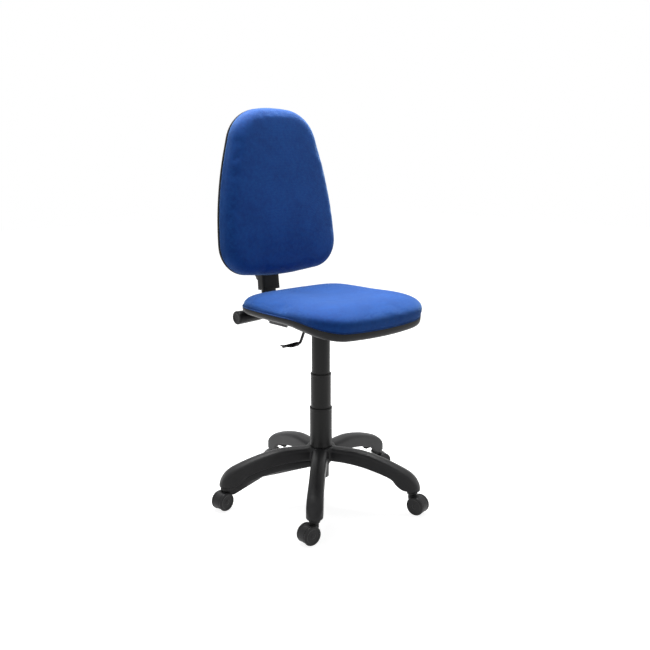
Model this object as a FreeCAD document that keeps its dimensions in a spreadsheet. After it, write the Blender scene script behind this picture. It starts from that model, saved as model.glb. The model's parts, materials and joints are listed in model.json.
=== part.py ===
"""Swivel office chair: five-leg base on twin-wheel casters, gas lift, tilting and height-adjustable back.

Millimetres. +Z is up and the floor is z = 0. The origin is on the floor, under the column's axis.
The sitter faces -Y, and the sitter's right hand is at -X. The lift is drawn at its top, the back upright
and at its lowest. Pieces of the back are drawn in the back's own frame, with its origin on the tilt pivot.
"""
import FreeCAD, Part, Sketcher
import math
import os
import re

from FreeCAD import Placement, Rotation, Vector

DRIVING = {
    # clearances
    "run_gap": 0.05, "slide_gap": 0.3, "part_gap": 0.3,
    # star base
    "leg_reach": 285, "leg_width": 46, "leg_wall": 4, "leg_tip_radius": 20, "leg_tip_low": 66,
    "leg_top_high": 170, "leg_low_high": 130, "hub_top": 168, "hub_low": 114, "first_leg_angle": -135,
    "leg_step": 72,
    # gas lift
    "tube_radius": 25, "tube_foot_radius": "tube_radius - 0.8", "hub_radius": "tube_radius + 17",
    "tube_wall": 2.2, "tube_low": 70, "tube_top": 300,
    "tube_floor": 4, "bush_length": 70, "lift_radius": 14, "lift_wall": 2, "lift_low": 228,
    "lift_top": 560, "lift_nose_radius": "lift_radius - 0.8", "lift_nose": 40, "gas_space": 190,
    "rod_radius": 5.5,
    "rod_foot_radius": 4, "washer_radius": 15, "washer_thick": 2, "ball_radius": 1.5, "buffer_high": 11,
    "pin_radius": 3, "pin_stand": 6, "pin_length": 120,
    # telescopic cover
    "cover_upper_radius": "tube_radius + 2", "cover_middle_radius": "tube_radius + 5",
    "cover_lower_radius": "tube_radius + 8", "cover_wall": 1.3,
    "cover_lip": 3, "cover_lower_top": 288, "cover_middle_low": 275, "cover_middle_top": 392,
    "cover_upper_low": 380,
    # under-seat mechanism
    "plate_thick": 3, "plate_top": 580, "channel_half": 41, "channel_low": 522, "channel_front": -70,
    "channel_rear": 197, "flange_half": 98, "flange_front": -92, "flange_rear": 118, "lip_front": 36,
    "lip_low": 536,
    "seat_bolt_x": 80, "seat_bolt_y": 78, "bolt_radius": 3.9, "bolt_head_radius": 6.5, "bolt_head": 5.3,
    "socket_radius": 20, "socket_high": 34,
    # lever
    "lever_radius": 4, "lever_inner": 9, "lever_side": -20, "lever_bend": -62, "lever_drop_x": -96,
    "lever_drop": 70, "lever_tip": -167, "lever_grip_length": 62, "paddle_width": 27, "paddle_thick": 5,
    "lever_pivot": -33, "trunnion_radius": 2.5, "trunnion_half": 12, "ear_near": 8, "ear_thick": 2,
    "ear_inner": 28, "ear_half": 6,
    # tilt pivot and its clamping knob
    "pivot_y": 165, "pivot_z": 556, "pivot_radius": 5, "knuckle_radius": 10, "nut_across": 17,
    "lock_knob_radius": 20, "lock_knob_length": 78, "lock_knob_end": -182, "lock_neck_radius": 13,
    "tilt_bolt_reach": 92, "spring_radius": 7.5, "spring_wire": 1.4, "spring_turns": 4,
    "spring_back": 20,
    # seat
    "seat_half_width": 212, "seat_front": -265, "seat_rear": 168, "rim_top": 598.3, "rim_high": 18.3,
    "sheet_thick": 3, "front_drop": 31, "drop_start": -98, "board_inset": 8, "cushion_high": 38,
    "arm_bolt_x": 165, "arm_bolt_front": -40, "arm_bolt_step": 80, "stud_hole_radius": 4.25,
    "tee_nut_radius": 5.2,
    # back, in its own frame: y rearward from the pivot, z up along the upright
    "back_lean": 5.2, "bar_width": 52, "bar_thick": 6, "bar_front": 72, "bar_top": 236,
    "bar_cover_width": 68, "bar_cover_top": 50, "bar_cover_low": -14, "bar_cover_depth": 28,
    "sleeve_low": 62, "sleeve_high": 184, "sleeve_wall": 4, "sleeve_width": 67, "sleeve_front": 58,
    "sleeve_rear": 88, "back_low": 109.5, "back_high": 493, "back_half_width": 210, "back_face": -35,
    "back_skirt": 5,
    "back_rim": 12, "back_board_thick": 10, "back_dish": 34, "back_shell_thick": 3, "back_slope": 45,
    "hat_width": 90, "hat_high": 88, "hat_middle": 206, "hat_bolt_step": 40, "hat_bolt_head": 4,
    "height_knob_radius": 28, "height_knob_length": 24, "height_stud_radius": 4, "height_knob_up": 50,
    # casters
    "wheel_radius": 27.5, "wheel_inner": 7.6, "wheel_shoulder": 13.2, "wheel_outer": 20.5,
    "wheel_face": 2.5, "drum_radius": 23.4, "tread_thick": 4, "wheel_hub_radius": 7.5,
    "axle_radius": 3.5, "trail": 20, "stem_radius": 5.5, "stem_top": 90, "stem_low": 40,
    "collar_radius": 9, "collar_high": 1.8, "hood_radius": 27, "hood_gap": 0.7, "hood_half": 12.7,
    "web_half": 7, "boss_radius": 12.4, "cap_radius": 16, "hood_foot": 12,
}
CASTER_TRAIL_ANGLES = (176.6, -79.6, -17.5, 120.5, -171.2)

doc = FreeCAD.newDocument("swivel_chair")
sheet = doc.addObject("Spreadsheet::Sheet", "dims")
for row, (alias, number) in enumerate(DRIVING.items(), 1):
    sheet.set(f"A{row}", alias)
    sheet.set(f"B{row}", f"={number}")
    sheet.setAlias(f"B{row}", alias)
doc.recompute()
WORDS = re.compile(r"\b(" + "|".join(sorted(DRIVING, key=len, reverse=True)) + r")\b")
nodes = {}


def size(formula):
    """The number that a formula of the sheet's names gives."""
    if not isinstance(formula, str):
        return float(formula)
    return float(doc.getObject("dims").evalExpression(WORDS.sub(r"dims.\1", formula)))


def bind(thing, prop, formula):
    """Ties a property to a formula of the sheet's names."""
    if isinstance(formula, str) and WORDS.search(formula):
        thing.setExpression(prop, WORDS.sub(r"dims.\1", formula))
    else:
        thing.setExpression(prop, None)
        owner, _, last = prop.rpartition(".")
        if owner.startswith("Placement"):
            spot = thing.Placement
            setattr(spot.Base, last, size(formula))
            thing.Placement = spot
        else:
            setattr(thing, prop, size(formula))


def place(thing, at=(0, 0, 0), turn=None):
    """Sets where a primitive stands: at holds three formulas, turn a rotation."""
    thing.Placement = Placement(Vector(), turn or Rotation())
    for axis, formula in zip("xyz", at):
        if formula != 0:
            bind(thing, "Placement.Base." + axis, formula)
    return thing


ALONG = {"z": Rotation(), "x": Rotation(Vector(0, 1, 0), 90), "y": Rotation(Vector(1, 0, 0), -90)}


def cylinder(name, radius, length, at=(0, 0, 0), along="z"):
    thing = doc.addObject("Part::Cylinder", name)
    bind(thing, "Radius", radius)
    bind(thing, "Height", length)
    return place(thing, at, ALONG[along])


def cone(name, low_radius, high_radius, length, at=(0, 0, 0), along="z"):
    thing = doc.addObject("Part::Cone", name)
    bind(thing, "Radius1", low_radius)
    bind(thing, "Radius2", high_radius)
    bind(thing, "Height", length)
    return place(thing, at, ALONG[along])


def box(name, length, width, height, at):
    thing = doc.addObject("Part::Box", name)
    bind(thing, "Length", length)
    bind(thing, "Width", width)
    bind(thing, "Height", height)
    return place(thing, at)


def box_about(name, width_x, y0, y1, z0, z1):
    """A box centred on x = 0, between two formulas each way in y and z."""
    return box(name, width_x, f"({y1}) - ({y0})", f"({z1}) - ({z0})", (f"-({width_x}) / 2", y0, z0))


def cut(name, base, tool):
    thing = doc.addObject("Part::Cut", name)
    thing.Base, thing.Tool = base, tool
    return thing


def fuse(name, *shapes):
    thing = doc.addObject("Part::MultiFuse", name)
    thing.Shapes = list(shapes)
    return thing


def common(name, *shapes):
    thing = doc.addObject("Part::MultiCommon", name)
    thing.Shapes = list(shapes)
    return thing


def group(name, *shapes):
    thing = doc.addObject("Part::Compound", name)
    thing.Links = list(shapes)
    return thing


def ring(name, outer, inner, length, at=(0, 0, 0), along="z"):
    """A straight tube."""
    return cut(name, cylinder(name + "_out", outer, length, at, along),
               cylinder(name + "_in", inner, length, at, along))


def outline(name, points, plane="XZ"):
    """A closed sketch. points holds (x, y) formulas; one with a third entry "via" bends the edge
    from the point before it to the point after it into an arc. Each point is tied to the sheet."""
    sketch = doc.addObject("Sketcher::SketchObject", name)
    turns = {"XY": Rotation(), "XZ": Rotation(Vector(1, 0, 0), 90), "YZ": Rotation(0.5, 0.5, 0.5, 0.5)}
    sketch.Placement = Placement(Vector(), turns[plane])
    return draw(sketch, points)


def draw(sketch, points):
    """Fills a sketch with the closed outline that outline() describes."""
    spots = [Vector(size(p[0]), size(p[1]), 0) for p in points]
    corners = [i for i, p in enumerate(points) if len(p) == 2]
    edges = []
    for here, there in zip(corners, corners[1:] + corners[:1]):
        if (here + 1) % len(points) == there:
            edge = sketch.addGeometry(Part.LineSegment(spots[here], spots[there]))
            first, last = 1, 2
        else:
            middle = (here + 1) % len(points)
            arc = Part.Arc(spots[here], spots[middle], spots[there])
            edge = sketch.addGeometry(arc)
            first = 1 if sketch.getPoint(edge, 1).distanceToPoint(spots[here]) < 1e-6 else 2
            last = 3 - first
            mark = sketch.addGeometry(Part.Point(spots[middle]), True)
            tie(sketch, mark, 1, points[middle])
            sketch.addConstraint(Sketcher.Constraint("PointOnObject", mark, 1, edge))
        tie(sketch, edge, first, points[here])
        edges.append((edge, first, last))
    for (edge, _, last), (other, first, _) in zip(edges, edges[1:] + edges[:1]):
        sketch.addConstraint(Sketcher.Constraint("Coincident", edge, last, other, first))
    return sketch


def tie(sketch, edge, end, point):
    """Ties one end of a sketch's edge to an (x, y) pair of formulas."""
    for kind, formula in zip(("DistanceX", "DistanceY"), point):
        number = sketch.addConstraint(Sketcher.Constraint(kind, -1, 1, edge, end, size(formula)))
        if isinstance(formula, str) and WORDS.search(formula):
            sketch.setExpression(f"Constraints[{number}]", WORDS.sub(r"dims.\1", formula))


def extrude(name, sketch, length, both_ways=True):
    """A slab of that whole thickness, about the sketch's plane or up from it."""
    thing = doc.addObject("Part::Extrusion", name)
    thing.Base = sketch
    thing.DirMode = "Normal"
    thing.Solid = True
    thing.Symmetric = both_ways
    bind(thing, "LengthFwd", length)
    return thing


def turned_body(name, points, plane="XZ_Plane", axis="Z_Axis"):
    """A body turned from one closed half section about an axis of its own."""
    body = doc.addObject("PartDesign::Body", name)
    features = {feature.Role: feature for feature in body.Origin.OriginFeatures}
    sketch = body.newObject("Sketcher::SketchObject", name + "_section")
    sketch.AttachmentSupport = (features[plane], "")
    sketch.MapMode = "FlatFace"
    draw(sketch, points)
    turn = body.newObject("PartDesign::Revolution", name + "_turn")
    turn.Profile = sketch
    turn.ReferenceAxis = (features[axis], [""])
    turn.Angle = 360
    return body


def inset(name, sketch, amount):
    """The sketch's outline moved inwards."""
    thing = doc.addObject("Part::Offset2D", name)
    thing.Source = sketch
    bind(thing, "Value", f"-({amount})")
    return thing


def mirrored(points):
    """Right-hand outline points from the bottom centre to the top centre, made a whole outline."""
    left = [(f"-({p[0]})", *p[1:]) for p in reversed(points[1:-1])]
    return points + left


def keep(node, thing):
    """Names a finished sub-part."""
    thing.Label = node
    nodes[node] = thing
    return thing


def lean(thing):
    """Moves a piece drawn in the back's frame to its place over the tilt pivot."""
    leaned = group(thing.Name + "_leaned", thing)
    leaned.Placement = Placement(Vector(), Rotation(Vector(1, 0, 0), -size("back_lean")))
    bind(leaned, "Placement.Base.y", "pivot_y")
    bind(leaned, "Placement.Base.z", "pivot_z")
    return leaned


def spin(thing, angle, radius="0"):
    """Moves a piece out along +X by radius and turns it about Z by angle."""
    turned = Rotation(Vector(0, 0, 1), angle)
    thing.Placement = Placement(turned.multVec(Vector(size(radius), 0, 0)), turned)
    return thing


# ---- star base -------------------------------------------------------------------------------------

def leg_angle(number):
    return size("first_leg_angle") + number * size("leg_step")


def leg(number):
    """One hollow arched leg with its caster socket, as an outer arch less an inner arch open below."""
    name = f"leg_{number + 1}"
    tip = "leg_reach + leg_tip_radius"
    side = outline(name + "_side", [
        ("0", "leg_top_high"), ("leg_reach * 0.5", "leg_top_high - 6", "via"),
        ("leg_reach - 5", "leg_top_high - 52"), ("leg_reach + 13", "leg_top_high - 66", "via"),
        (tip, "leg_top_high - 88"), (tip, "leg_tip_low"), ("leg_reach - leg_tip_radius", "leg_tip_low"),
        ("leg_reach - leg_tip_radius", "leg_low_high - 46"),
        ("leg_reach * 0.5", "leg_low_high - 8", "via"), ("0", "leg_low_high")])
    slab = extrude(name + "_slab", side, "leg_width")
    hollow = outline(name + "_hollow", [
        ("hub_radius", "leg_top_high - leg_wall - 1"),
        ("leg_reach * 0.5", "leg_top_high - leg_wall - 7", "via"),
        ("leg_reach - leg_tip_radius - leg_wall", "leg_top_high - leg_wall - 48"),
        ("leg_reach - leg_tip_radius - leg_wall", "leg_tip_low - 5"), ("hub_radius", "leg_tip_low - 5")])
    inside = extrude(name + "_inside", hollow, "leg_width - 2 * leg_wall")
    shell = cut(name + "_shell", slab, inside)
    plan = fuse(name + "_plan", box(name + "_run", "leg_reach", "leg_width", "hub_top",
                                    (0, "-leg_width / 2", 0)),
                cylinder(name + "_end", "leg_width / 2", "hub_top", ("leg_reach - 2", 0, 0)))
    rib = box(name + "_rib", 3, "leg_width - 2", "leg_wall * 9", ("leg_reach * 0.5", "1 - leg_width / 2",
                                                              "leg_low_high - 6"))
    rounded = fuse(name + "_ribbed", common(name + "_rounded", shell, plan), rib)
    bored = cut(name + "_bored", rounded,
                cylinder(name + "_socket", "stem_radius + 1", "stem_top - leg_tip_low + 2",
                         ("leg_reach", 0, "leg_tip_low")))
    return spin(bored, leg_angle(number))


def star_base():
    hub = turned_body("hub", [
        (0, "hub_low"), ("hub_radius - 6", "hub_low"), ("hub_radius + 4", "leg_low_high + 14"),
        ("hub_radius", "hub_top - 4"), ("hub_radius - 4", "hub_top"), (0, "hub_top")])
    whole = fuse("star", hub, *[leg(number) for number in range(5)])
    bore = turned_body("hub_bore", [
        (0, "tube_low"), ("tube_foot_radius + run_gap", "tube_low"),
        ("tube_radius + run_gap", "hub_top"), ("tube_radius + run_gap", "hub_top + 10"),
        (0, "hub_top + 10")])
    keep("star_base", cut("star_base", whole, bore))


# ---- gas lift --------------------------------------------------------------------------------------

def stand_tube():
    inner = "tube_radius - tube_wall"
    body = turned_body("tube_body", [
        ("rod_foot_radius + run_gap", "tube_low"), ("tube_foot_radius", "tube_low"),
        ("tube_radius", "hub_top"), ("tube_radius", "tube_top"), (inner, "tube_top"),
        (inner, "tube_low + tube_floor"), ("rod_foot_radius + run_gap", "tube_low + tube_floor")])
    keep("stand_tube", body)
    keep("guide_bush", ring("guide_bush", f"{inner} - run_gap", "lift_radius + run_gap", "bush_length",
                            (0, 0, "tube_top - bush_length")))


def thrust_bearing():
    floor = "tube_low + tube_floor"
    bore = "rod_foot_radius + run_gap"
    keep("bearing_lower_washer", ring("lower_washer", "washer_radius", bore, "washer_thick",
                                      (0, 0, floor)))
    balls = []
    for number in range(8):
        ball = doc.addObject("Part::Sphere", f"ball_{number + 1}")
        bind(ball, "Radius", "ball_radius")
        turned = Rotation(Vector(0, 0, 1), number * 45).multVec(Vector(size("washer_radius - 5"), 0, 0))
        place(ball, (turned.x, turned.y, f"{floor} + washer_thick + ball_radius"))
        balls.append(ball)
    keep("bearing_balls", group("bearing_balls", *balls))
    top = f"{floor} + washer_thick + 2 * ball_radius"
    keep("bearing_upper_washer", ring("upper_washer", "washer_radius", bore, "washer_thick", (0, 0, top)))
    keep("lift_buffer", ring("buffer", "washer_radius + 3", "rod_radius + run_gap", "buffer_high",
                             (0, 0, f"{top} + washer_thick + run_gap")))
    keep("retaining_clip", ring("clip", "rod_foot_radius * 2", bore, 1.8, (0, 0, "tube_low - 2")))
    shoulder = f"{top} + washer_thick"
    piston = "lift_low + 12"
    rod = fuse("rod", cylinder("rod_foot", "rod_foot_radius", f"{shoulder} - tube_low + 6",
                               (0, 0, "tube_low - 6")),
               cylinder("rod_shaft", "rod_radius", f"{piston} - ({shoulder})", (0, 0, shoulder)),
               cylinder("piston", "lift_radius - lift_wall - run_gap", 12, (0, 0, piston)))
    keep("piston_rod", rod)


def gas_cylinder():
    outer = turned_body("lift_body", [
        (0, "lift_low"), ("lift_radius", "lift_low"), ("lift_radius", "lift_top - lift_nose"),
        ("lift_nose_radius", "lift_top"), (0, "lift_top")])
    space = cylinder("gas_room", "lift_radius - lift_wall", "gas_space", (0, 0, "lift_low + 8"))
    seal = cylinder("rod_seal", "rod_radius + run_gap", 10, (0, 0, "lift_low - 1"))
    pin_way = cylinder("pin_way", "pin_radius + run_gap", "pin_length + 1",
                       (0, 0, "lift_top + pin_stand - pin_length - 6"))
    keep("gas_cylinder", cut("gas_cylinder", outer, fuse("lift_cuts", space, seal, pin_way)))
    keep("valve_pin", cylinder("valve_pin", "pin_radius", "pin_length",
                               (0, 0, "lift_top + pin_stand - pin_length")))


def cover_section(node, radius, low, top, lip_inner, flange_outer=None):
    """One telescopic tube: a lip turned in at its top and, except on the lowest, a flange at its foot."""
    inner = f"{radius} - cover_wall"
    foot = [(inner, low), (radius, low)]
    if flange_outer:
        foot = [(inner, low), (flange_outer, low), (flange_outer, f"{low} + cover_lip"),
                (radius, f"{low} + cover_lip")]
    keep(node, turned_body(node, foot + [
        (radius, top), (lip_inner, top), (lip_inner, f"{top} - cover_lip"),
        (inner, f"{top} - cover_lip")]))


def telescopic_cover():
    cover_section("cover_lower", "cover_lower_radius", "hub_top + part_gap", "cover_lower_top",
                  "cover_middle_radius + part_gap")
    cover_section("cover_middle", "cover_middle_radius", "cover_middle_low", "cover_middle_top",
                  "cover_upper_radius + part_gap", "cover_lower_radius - cover_wall - part_gap")
    cover_section("cover_upper", "cover_upper_radius", "cover_upper_low",
                  "channel_low - part_gap", "lift_radius + part_gap",
                  "cover_middle_radius - cover_wall - part_gap")


# ---- under-seat mechanism --------------------------------------------------------------------------

def four(name, maker, x, y0, y1):
    """A piece at each corner of a rectangle."""
    return [maker(f"{name}_{n}", (sx, sy)) for n, (sx, sy) in enumerate(
        (a, b) for a in (x, f"-({x})") for b in (y0, y1))]


def mechanism():
    side, low, top = "channel_half", "channel_low", "plate_top"
    outer = box_about("channel_outer", f"2 * {side}", "channel_front", "channel_rear", low, top)
    inner = box_about("channel_inner", f"2 * ({side} - plate_thick)", "channel_front - 1",
                      "channel_rear + 1", f"{low} + plate_thick", f"{top} + 1")
    flanges = box_about("flanges", "2 * flange_half", "flange_front", "flange_rear",
                        f"{top} - plate_thick", top)
    lips = [box(f"flange_lip_{side_name}", "plate_thick", "flange_rear - lip_front", f"{top} - lip_low",
                (start, "lip_front", "lip_low"))
            for side_name, start in (("right", "-flange_half"), ("left", "flange_half - plate_thick"))]
    opening = box_about("flange_opening", f"2 * ({side} - plate_thick)", "channel_front - 1",
                        "flange_rear + 1", f"{low} + plate_thick", f"{top} + 1")
    folded = cut("mechanism_folded", fuse("mechanism_whole", outer, flanges, *lips),
                 fuse("mechanism_room", inner, opening))
    ears = [box(f"lever_ear_{number}", f"{side} - plate_thick - ear_inner + 1", "ear_thick", "2 * ear_half",
                (f"plate_thick - {side} - 1", start, f"{LEVER_Z} - ear_half"))
            for number, start in enumerate(("lever_side - ear_near - ear_thick", "lever_side + ear_near"))]
    holes = four("seat_hole", lambda n, s: cylinder(n, "bolt_radius + 0.2", "plate_thick + 2",
                                                    (s[0], s[1], f"{top} - plate_thick - 1")),
                 "seat_bolt_x", "-seat_bolt_y", "seat_bolt_y")
    tools = holes + [
        cylinder("socket_hole", "socket_radius + run_gap", "plate_thick + 2", (0, 0, f"{low} - 1")),
        cylinder("pivot_hole", "pivot_radius + run_gap", f"2 * {side} + 2",
                 (f"-{side} - 1", "pivot_y", "pivot_z"), "x"),
        cylinder("lever_hole", "lever_radius + 1.3", f"{side}",
                 (f"-{side} - 1", "lever_side", LEVER_Z), "x"),
        trunnion("trunnion_hole", "trunnion_radius + run_gap", "trunnion_half + 2")]
    keep("mechanism_channel", cut("mechanism_channel", fuse("mechanism_eared", folded, *ears),
                                  fuse("mechanism_holes", *tools)))
    socket = turned_body("socket_body", [
        ("lift_radius + run_gap", "lift_top - socket_high"), ("socket_radius", "lift_top - socket_high"),
        ("socket_radius", "lift_top"), ("lift_nose_radius + run_gap", "lift_top"),
        ("lift_radius + run_gap", "lift_top - lift_nose + 2")])
    keep("taper_socket", socket)


def seat_bolts():
    def bolt(name, spot):
        return fuse(name, cylinder(name + "_head", "bolt_head_radius", "bolt_head",
                                   (*spot, "plate_top - plate_thick - bolt_head")),
                    cylinder(name + "_shank", "bolt_radius", "plate_thick + 14",
                             (*spot, "plate_top - plate_thick")))
    keep("seat_bolts", group("seat_bolts", *four("seat_bolt", bolt, "seat_bolt_x", "-seat_bolt_y",
                                                 "seat_bolt_y")))


LEVER_Z = "lift_top + pin_stand + part_gap + lever_radius"


def trunnion(name, radius, half):
    """A cylinder about the lever's own cross axis."""
    return cylinder(name, radius, f"2 * ({half})", ("lever_pivot", f"lever_side - ({half})", LEVER_Z), "y")


def lever():
    """A bent wire that rocks on a cross pin held by two ears: its inner end lies over the valve pin."""
    drop = f"{LEVER_Z} - lever_drop"
    points = [Vector(size(x), size(y), size(z)) for x, y, z in (
        (0, "lever_inner", LEVER_Z), (0, "lever_side", LEVER_Z), ("lever_bend", "lever_side", LEVER_Z),
        ("lever_drop_x", "lever_side", drop), ("lever_tip + 9", "lever_side", drop))]
    wire = doc.addObject("Part::Feature", "lever_wire")
    wire.Shape = pipe(points, 10, size("lever_radius"))
    keep("lever_rod", fuse("lever_rocker", wire, trunnion("lever_trunnion", "trunnion_radius",
                                                          "trunnion_half")))
    inner, shoulder = "lever_tip + lever_grip_length", "lever_tip + lever_grip_length - 14"
    side = "lever_side"
    plan = outline("paddle_plan", [
        (inner, f"{side} - lever_radius - 2"), (shoulder, f"{side} - paddle_width / 2"),
        ("lever_tip + 9", f"{side} - paddle_width / 2"), ("lever_tip", side, "via"),
        ("lever_tip + 9", f"{side} + paddle_width / 2"), (shoulder, f"{side} + paddle_width / 2"),
        (inner, f"{side} + lever_radius + 2")], "XY")
    blade = extrude("paddle_blade", plan, "2 * lever_radius + paddle_thick", False)
    blade_up = place(group("paddle_up", blade), (0, 0, f"{drop} - lever_radius - paddle_thick / 2"))
    room = cylinder("paddle_bore", "lever_radius + run_gap", f"{inner} - (lever_tip + 9) + 1",
                    ("lever_tip + 9 - run_gap", side, drop), "x")
    keep("lever_paddle", cut("lever_paddle", blade_up, room))


def pipe(points, bend, radius):
    """A round rod of that radius along straight runs with bends."""
    disc = Part.Circle(points[0], points[1] - points[0], radius).toShape()
    return rounded_path(points, bend).makePipeShell([Part.Wire(disc)], True, False)


def rounded_path(points, radius):
    """Straight runs joined by tangent arcs, as one wire."""
    edges, start = [], points[0]
    for before, corner, after in zip(points, points[1:], points[2:]):
        back, on = (before - corner).normalize(), (after - corner).normalize()
        half = back.getAngle(on) / 2
        reach = radius / math.tan(half)
        centre = corner + (back + on).normalize() * (radius / math.sin(half))
        first, last = corner + back * reach, corner + on * reach
        middle = centre + (corner - centre).normalize() * radius
        edges += [Part.LineSegment(start, first).toShape(), Part.Arc(first, middle, last).toShape()]
        start = last
    edges.append(Part.LineSegment(start, points[-1]).toShape())
    return Part.Wire(edges)


def tilt_lock():
    """One long bolt: the back pivots on it, and its knob squeezes the channel onto the knuckle."""
    keep("tilt_bolt", cylinder("tilt_bolt", "pivot_radius", "channel_half + 9 + tilt_bolt_reach",
                               ("-tilt_bolt_reach", "pivot_y", "pivot_z"), "x"))
    end = "lock_knob_end + lock_knob_length"
    knob = fuse("knob_whole",
                cylinder("knob_grip", "lock_knob_radius", "lock_knob_length",
                         ("lock_knob_end", "pivot_y", "pivot_z"), "x"),
                cone("knob_neck", "lock_knob_radius", "lock_neck_radius",
                     f"-channel_half - part_gap - ({end})", (end, "pivot_y", "pivot_z"), "x"))
    room = cylinder("knob_bore", "pivot_radius + run_gap", "tilt_bolt_reach",
                    ("-tilt_bolt_reach - part_gap", "pivot_y", "pivot_z"), "x")
    keep("tilt_lock_knob", cut("tilt_lock_knob", knob, room))
    nut = doc.addObject("Part::Prism", "lock_nut_hex")
    nut.Polygon = 6
    bind(nut, "Circumradius", "nut_across / 2 / cos(30)")
    bind(nut, "Height", 8)
    place(nut, ("channel_half", "pivot_y", "pivot_z"), ALONG["x"])
    keep("tilt_nut", cut("tilt_nut", nut, cylinder(
        "nut_bore", "pivot_radius + run_gap", 10, ("channel_half - 1", "pivot_y", "pivot_z"), "x")))


def tilt_spring():
    """A short coil between the channel's floor and the upright's foot."""
    foot = "channel_low + plate_thick"
    coil = doc.addObject("Part::Helix", "spring_line")
    bind(coil, "Radius", "spring_radius")
    bind(coil, "Pitch", "(pivot_z - bar_thick / 2 - channel_low - plate_thick - 2 * spring_wire - 2.4)"
         " / spring_turns")
    bind(coil, "Height", "pivot_z - bar_thick / 2 - channel_low - plate_thick - 2 * spring_wire - 2.4")
    place(coil, (0, "pivot_y + spring_back", f"{foot} + spring_wire + 0.2"))
    circle = doc.addObject("Part::Circle", "spring_section")
    bind(circle, "Radius", "spring_wire")
    place(circle, ("spring_radius", "pivot_y + spring_back", f"{foot} + spring_wire + 0.2"), ALONG["y"])
    sweep = doc.addObject("Part::Sweep", "spring_sweep")
    sweep.Sections, sweep.Spine = [circle], (coil, [])
    sweep.Solid, sweep.Frenet = True, True
    keep("tilt_spring", sweep)


# ---- seat ------------------------------------------------------------------------------------------

def seat_plan():
    w, front, rear = "seat_half_width", "seat_front", "seat_rear"
    return outline("seat_plan", mirrored([
        (0, front, "via"), (f"{w} - 88", f"{front} + 8.5"), (f"{w} - 35", f"{front} + 35", "via"),
        (f"{w} - 8", f"{front} + 87"), (w, f"{front} + 205", "via"), (f"{w} - 5", f"{rear} - 90"),
        (f"{w} - 32", f"{rear} - 31", "via"), (f"{w} - 88", f"{rear} - 5"), (0, rear, "via")]), "XY")


def seat_side(name, over_low, over_high):
    """The seat's long section between two heights over the rim's top line, as an extrusion across it.
    The rim's top line is level at the back and falls in an arc to the front."""
    front, rear, start, top = "seat_front - 2", "seat_rear + 2", "drop_start", "rim_top"
    middle = f"({front} + {start}) / 2"

    def line(over):
        return [(rear, f"{top} + {over}"), (start, f"{top} + {over}"),
                (middle, f"{top} + {over} - front_drop * 0.27", "via"),
                (front, f"{top} + {over} - front_drop")]
    sketch = outline(name + "_side", line(over_high) + line(over_low)[::-1], "YZ")
    return extrude(name + "_slab", sketch, "2 * seat_half_width + 40")


def column(name, sketch):
    return extrude(name, sketch, 700, False)


def seat():
    plan = seat_plan()
    full = column("plan_full", plan)
    inner = column("plan_inner", inset("plan_inset", plan, "sheet_thick"))
    boarded = column("plan_board", inset("plan_board_inset", plan, "board_inset"))
    rim = cut("rim", common("rim_full", full, seat_side("rim", "-rim_high", "0")), inner)
    dish = common("dish", full, seat_side("dish", "-rim_high", "sheet_thick - rim_high"))
    arm_holes = four("arm_hole", lambda n, s: cylinder(n, "stud_hole_radius", 40, (*s, "rim_top - 30")),
                     "arm_bolt_x", "arm_bolt_front", "arm_bolt_front + arm_bolt_step")
    bolt_holes = four("shell_hole", lambda n, s: cylinder(n, "bolt_radius + 0.2", 8,
                                                          (*s, "plate_top - 2")),
                      "seat_bolt_x", "-seat_bolt_y", "seat_bolt_y")
    keep("seat_shell", cut("seat_shell", fuse("seat_tray", rim, dish),
                           fuse("shell_holes", *arm_holes, *bolt_holes)))
    board = common("board_full", boarded,
                   seat_side("board", "sheet_thick + part_gap - rim_high", "-part_gap"))
    nut_holes = four("nut_hole", lambda n, s: cylinder(n, "tee_nut_radius + run_gap", 60,
                                                       (*s, "rim_top - 40")),
                     "arm_bolt_x", "arm_bolt_front", "arm_bolt_front + arm_bolt_step")
    bolt_ways = four("bolt_way", lambda n, s: cylinder(n, "tee_nut_radius + run_gap", 60,
                                                       (*s, "rim_top - 40")),
                     "seat_bolt_x", "-seat_bolt_y", "seat_bolt_y")
    keep("seat_board", cut("seat_board", board, fuse("board_holes", *nut_holes, *bolt_ways)))

    def tee_nut(name, spot):
        high = "rim_top - part_gap"
        return ring(name, "tee_nut_radius", "stud_hole_radius", "12", (*spot, f"{high} - 12"))
    keep("seat_tee_nuts", group("seat_tee_nuts",
                                *four("arm_nut", tee_nut, "arm_bolt_x", "arm_bolt_front",
                                      "arm_bolt_front + arm_bolt_step"),
                                *four("seat_nut", tee_nut, "seat_bolt_x", "-seat_bolt_y", "seat_bolt_y")))
    keep("seat_cushion", common("seat_cushion", full, seat_side("cushion", "part_gap", "cushion_high")))


# ---- back, drawn in its own frame ------------------------------------------------------------------

def back_plan(name, plane="XZ"):
    w, low, high = "back_half_width", "back_low", "back_high"
    return outline(name, mirrored([
        (0, low, "via"), (f"{w} - 90", f"{low} + 8"), (f"{w} - 26", f"{low} + 34", "via"),
        (w, f"{low} + 92"), (f"{w} - 14", f"{low} + {high} * 0.5", "via"),
        (f"{w} - 52", f"{low} + {high} * 0.8"), (f"{w} - 88", f"{low} + {high} * 0.93", "via"),
        (f"{w} - 148", f"{low} + {high} - 5"), (0, f"{low} + {high}", "via")]), plane)


def slab_y(name, sketch, y0, y1):
    """A slab of an XZ sketch between two formulas in y."""
    slab = extrude(name + "_slab", sketch, f"({y1}) - ({y0})", False)
    return place(group(name, slab), (0, y1, 0))


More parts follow.
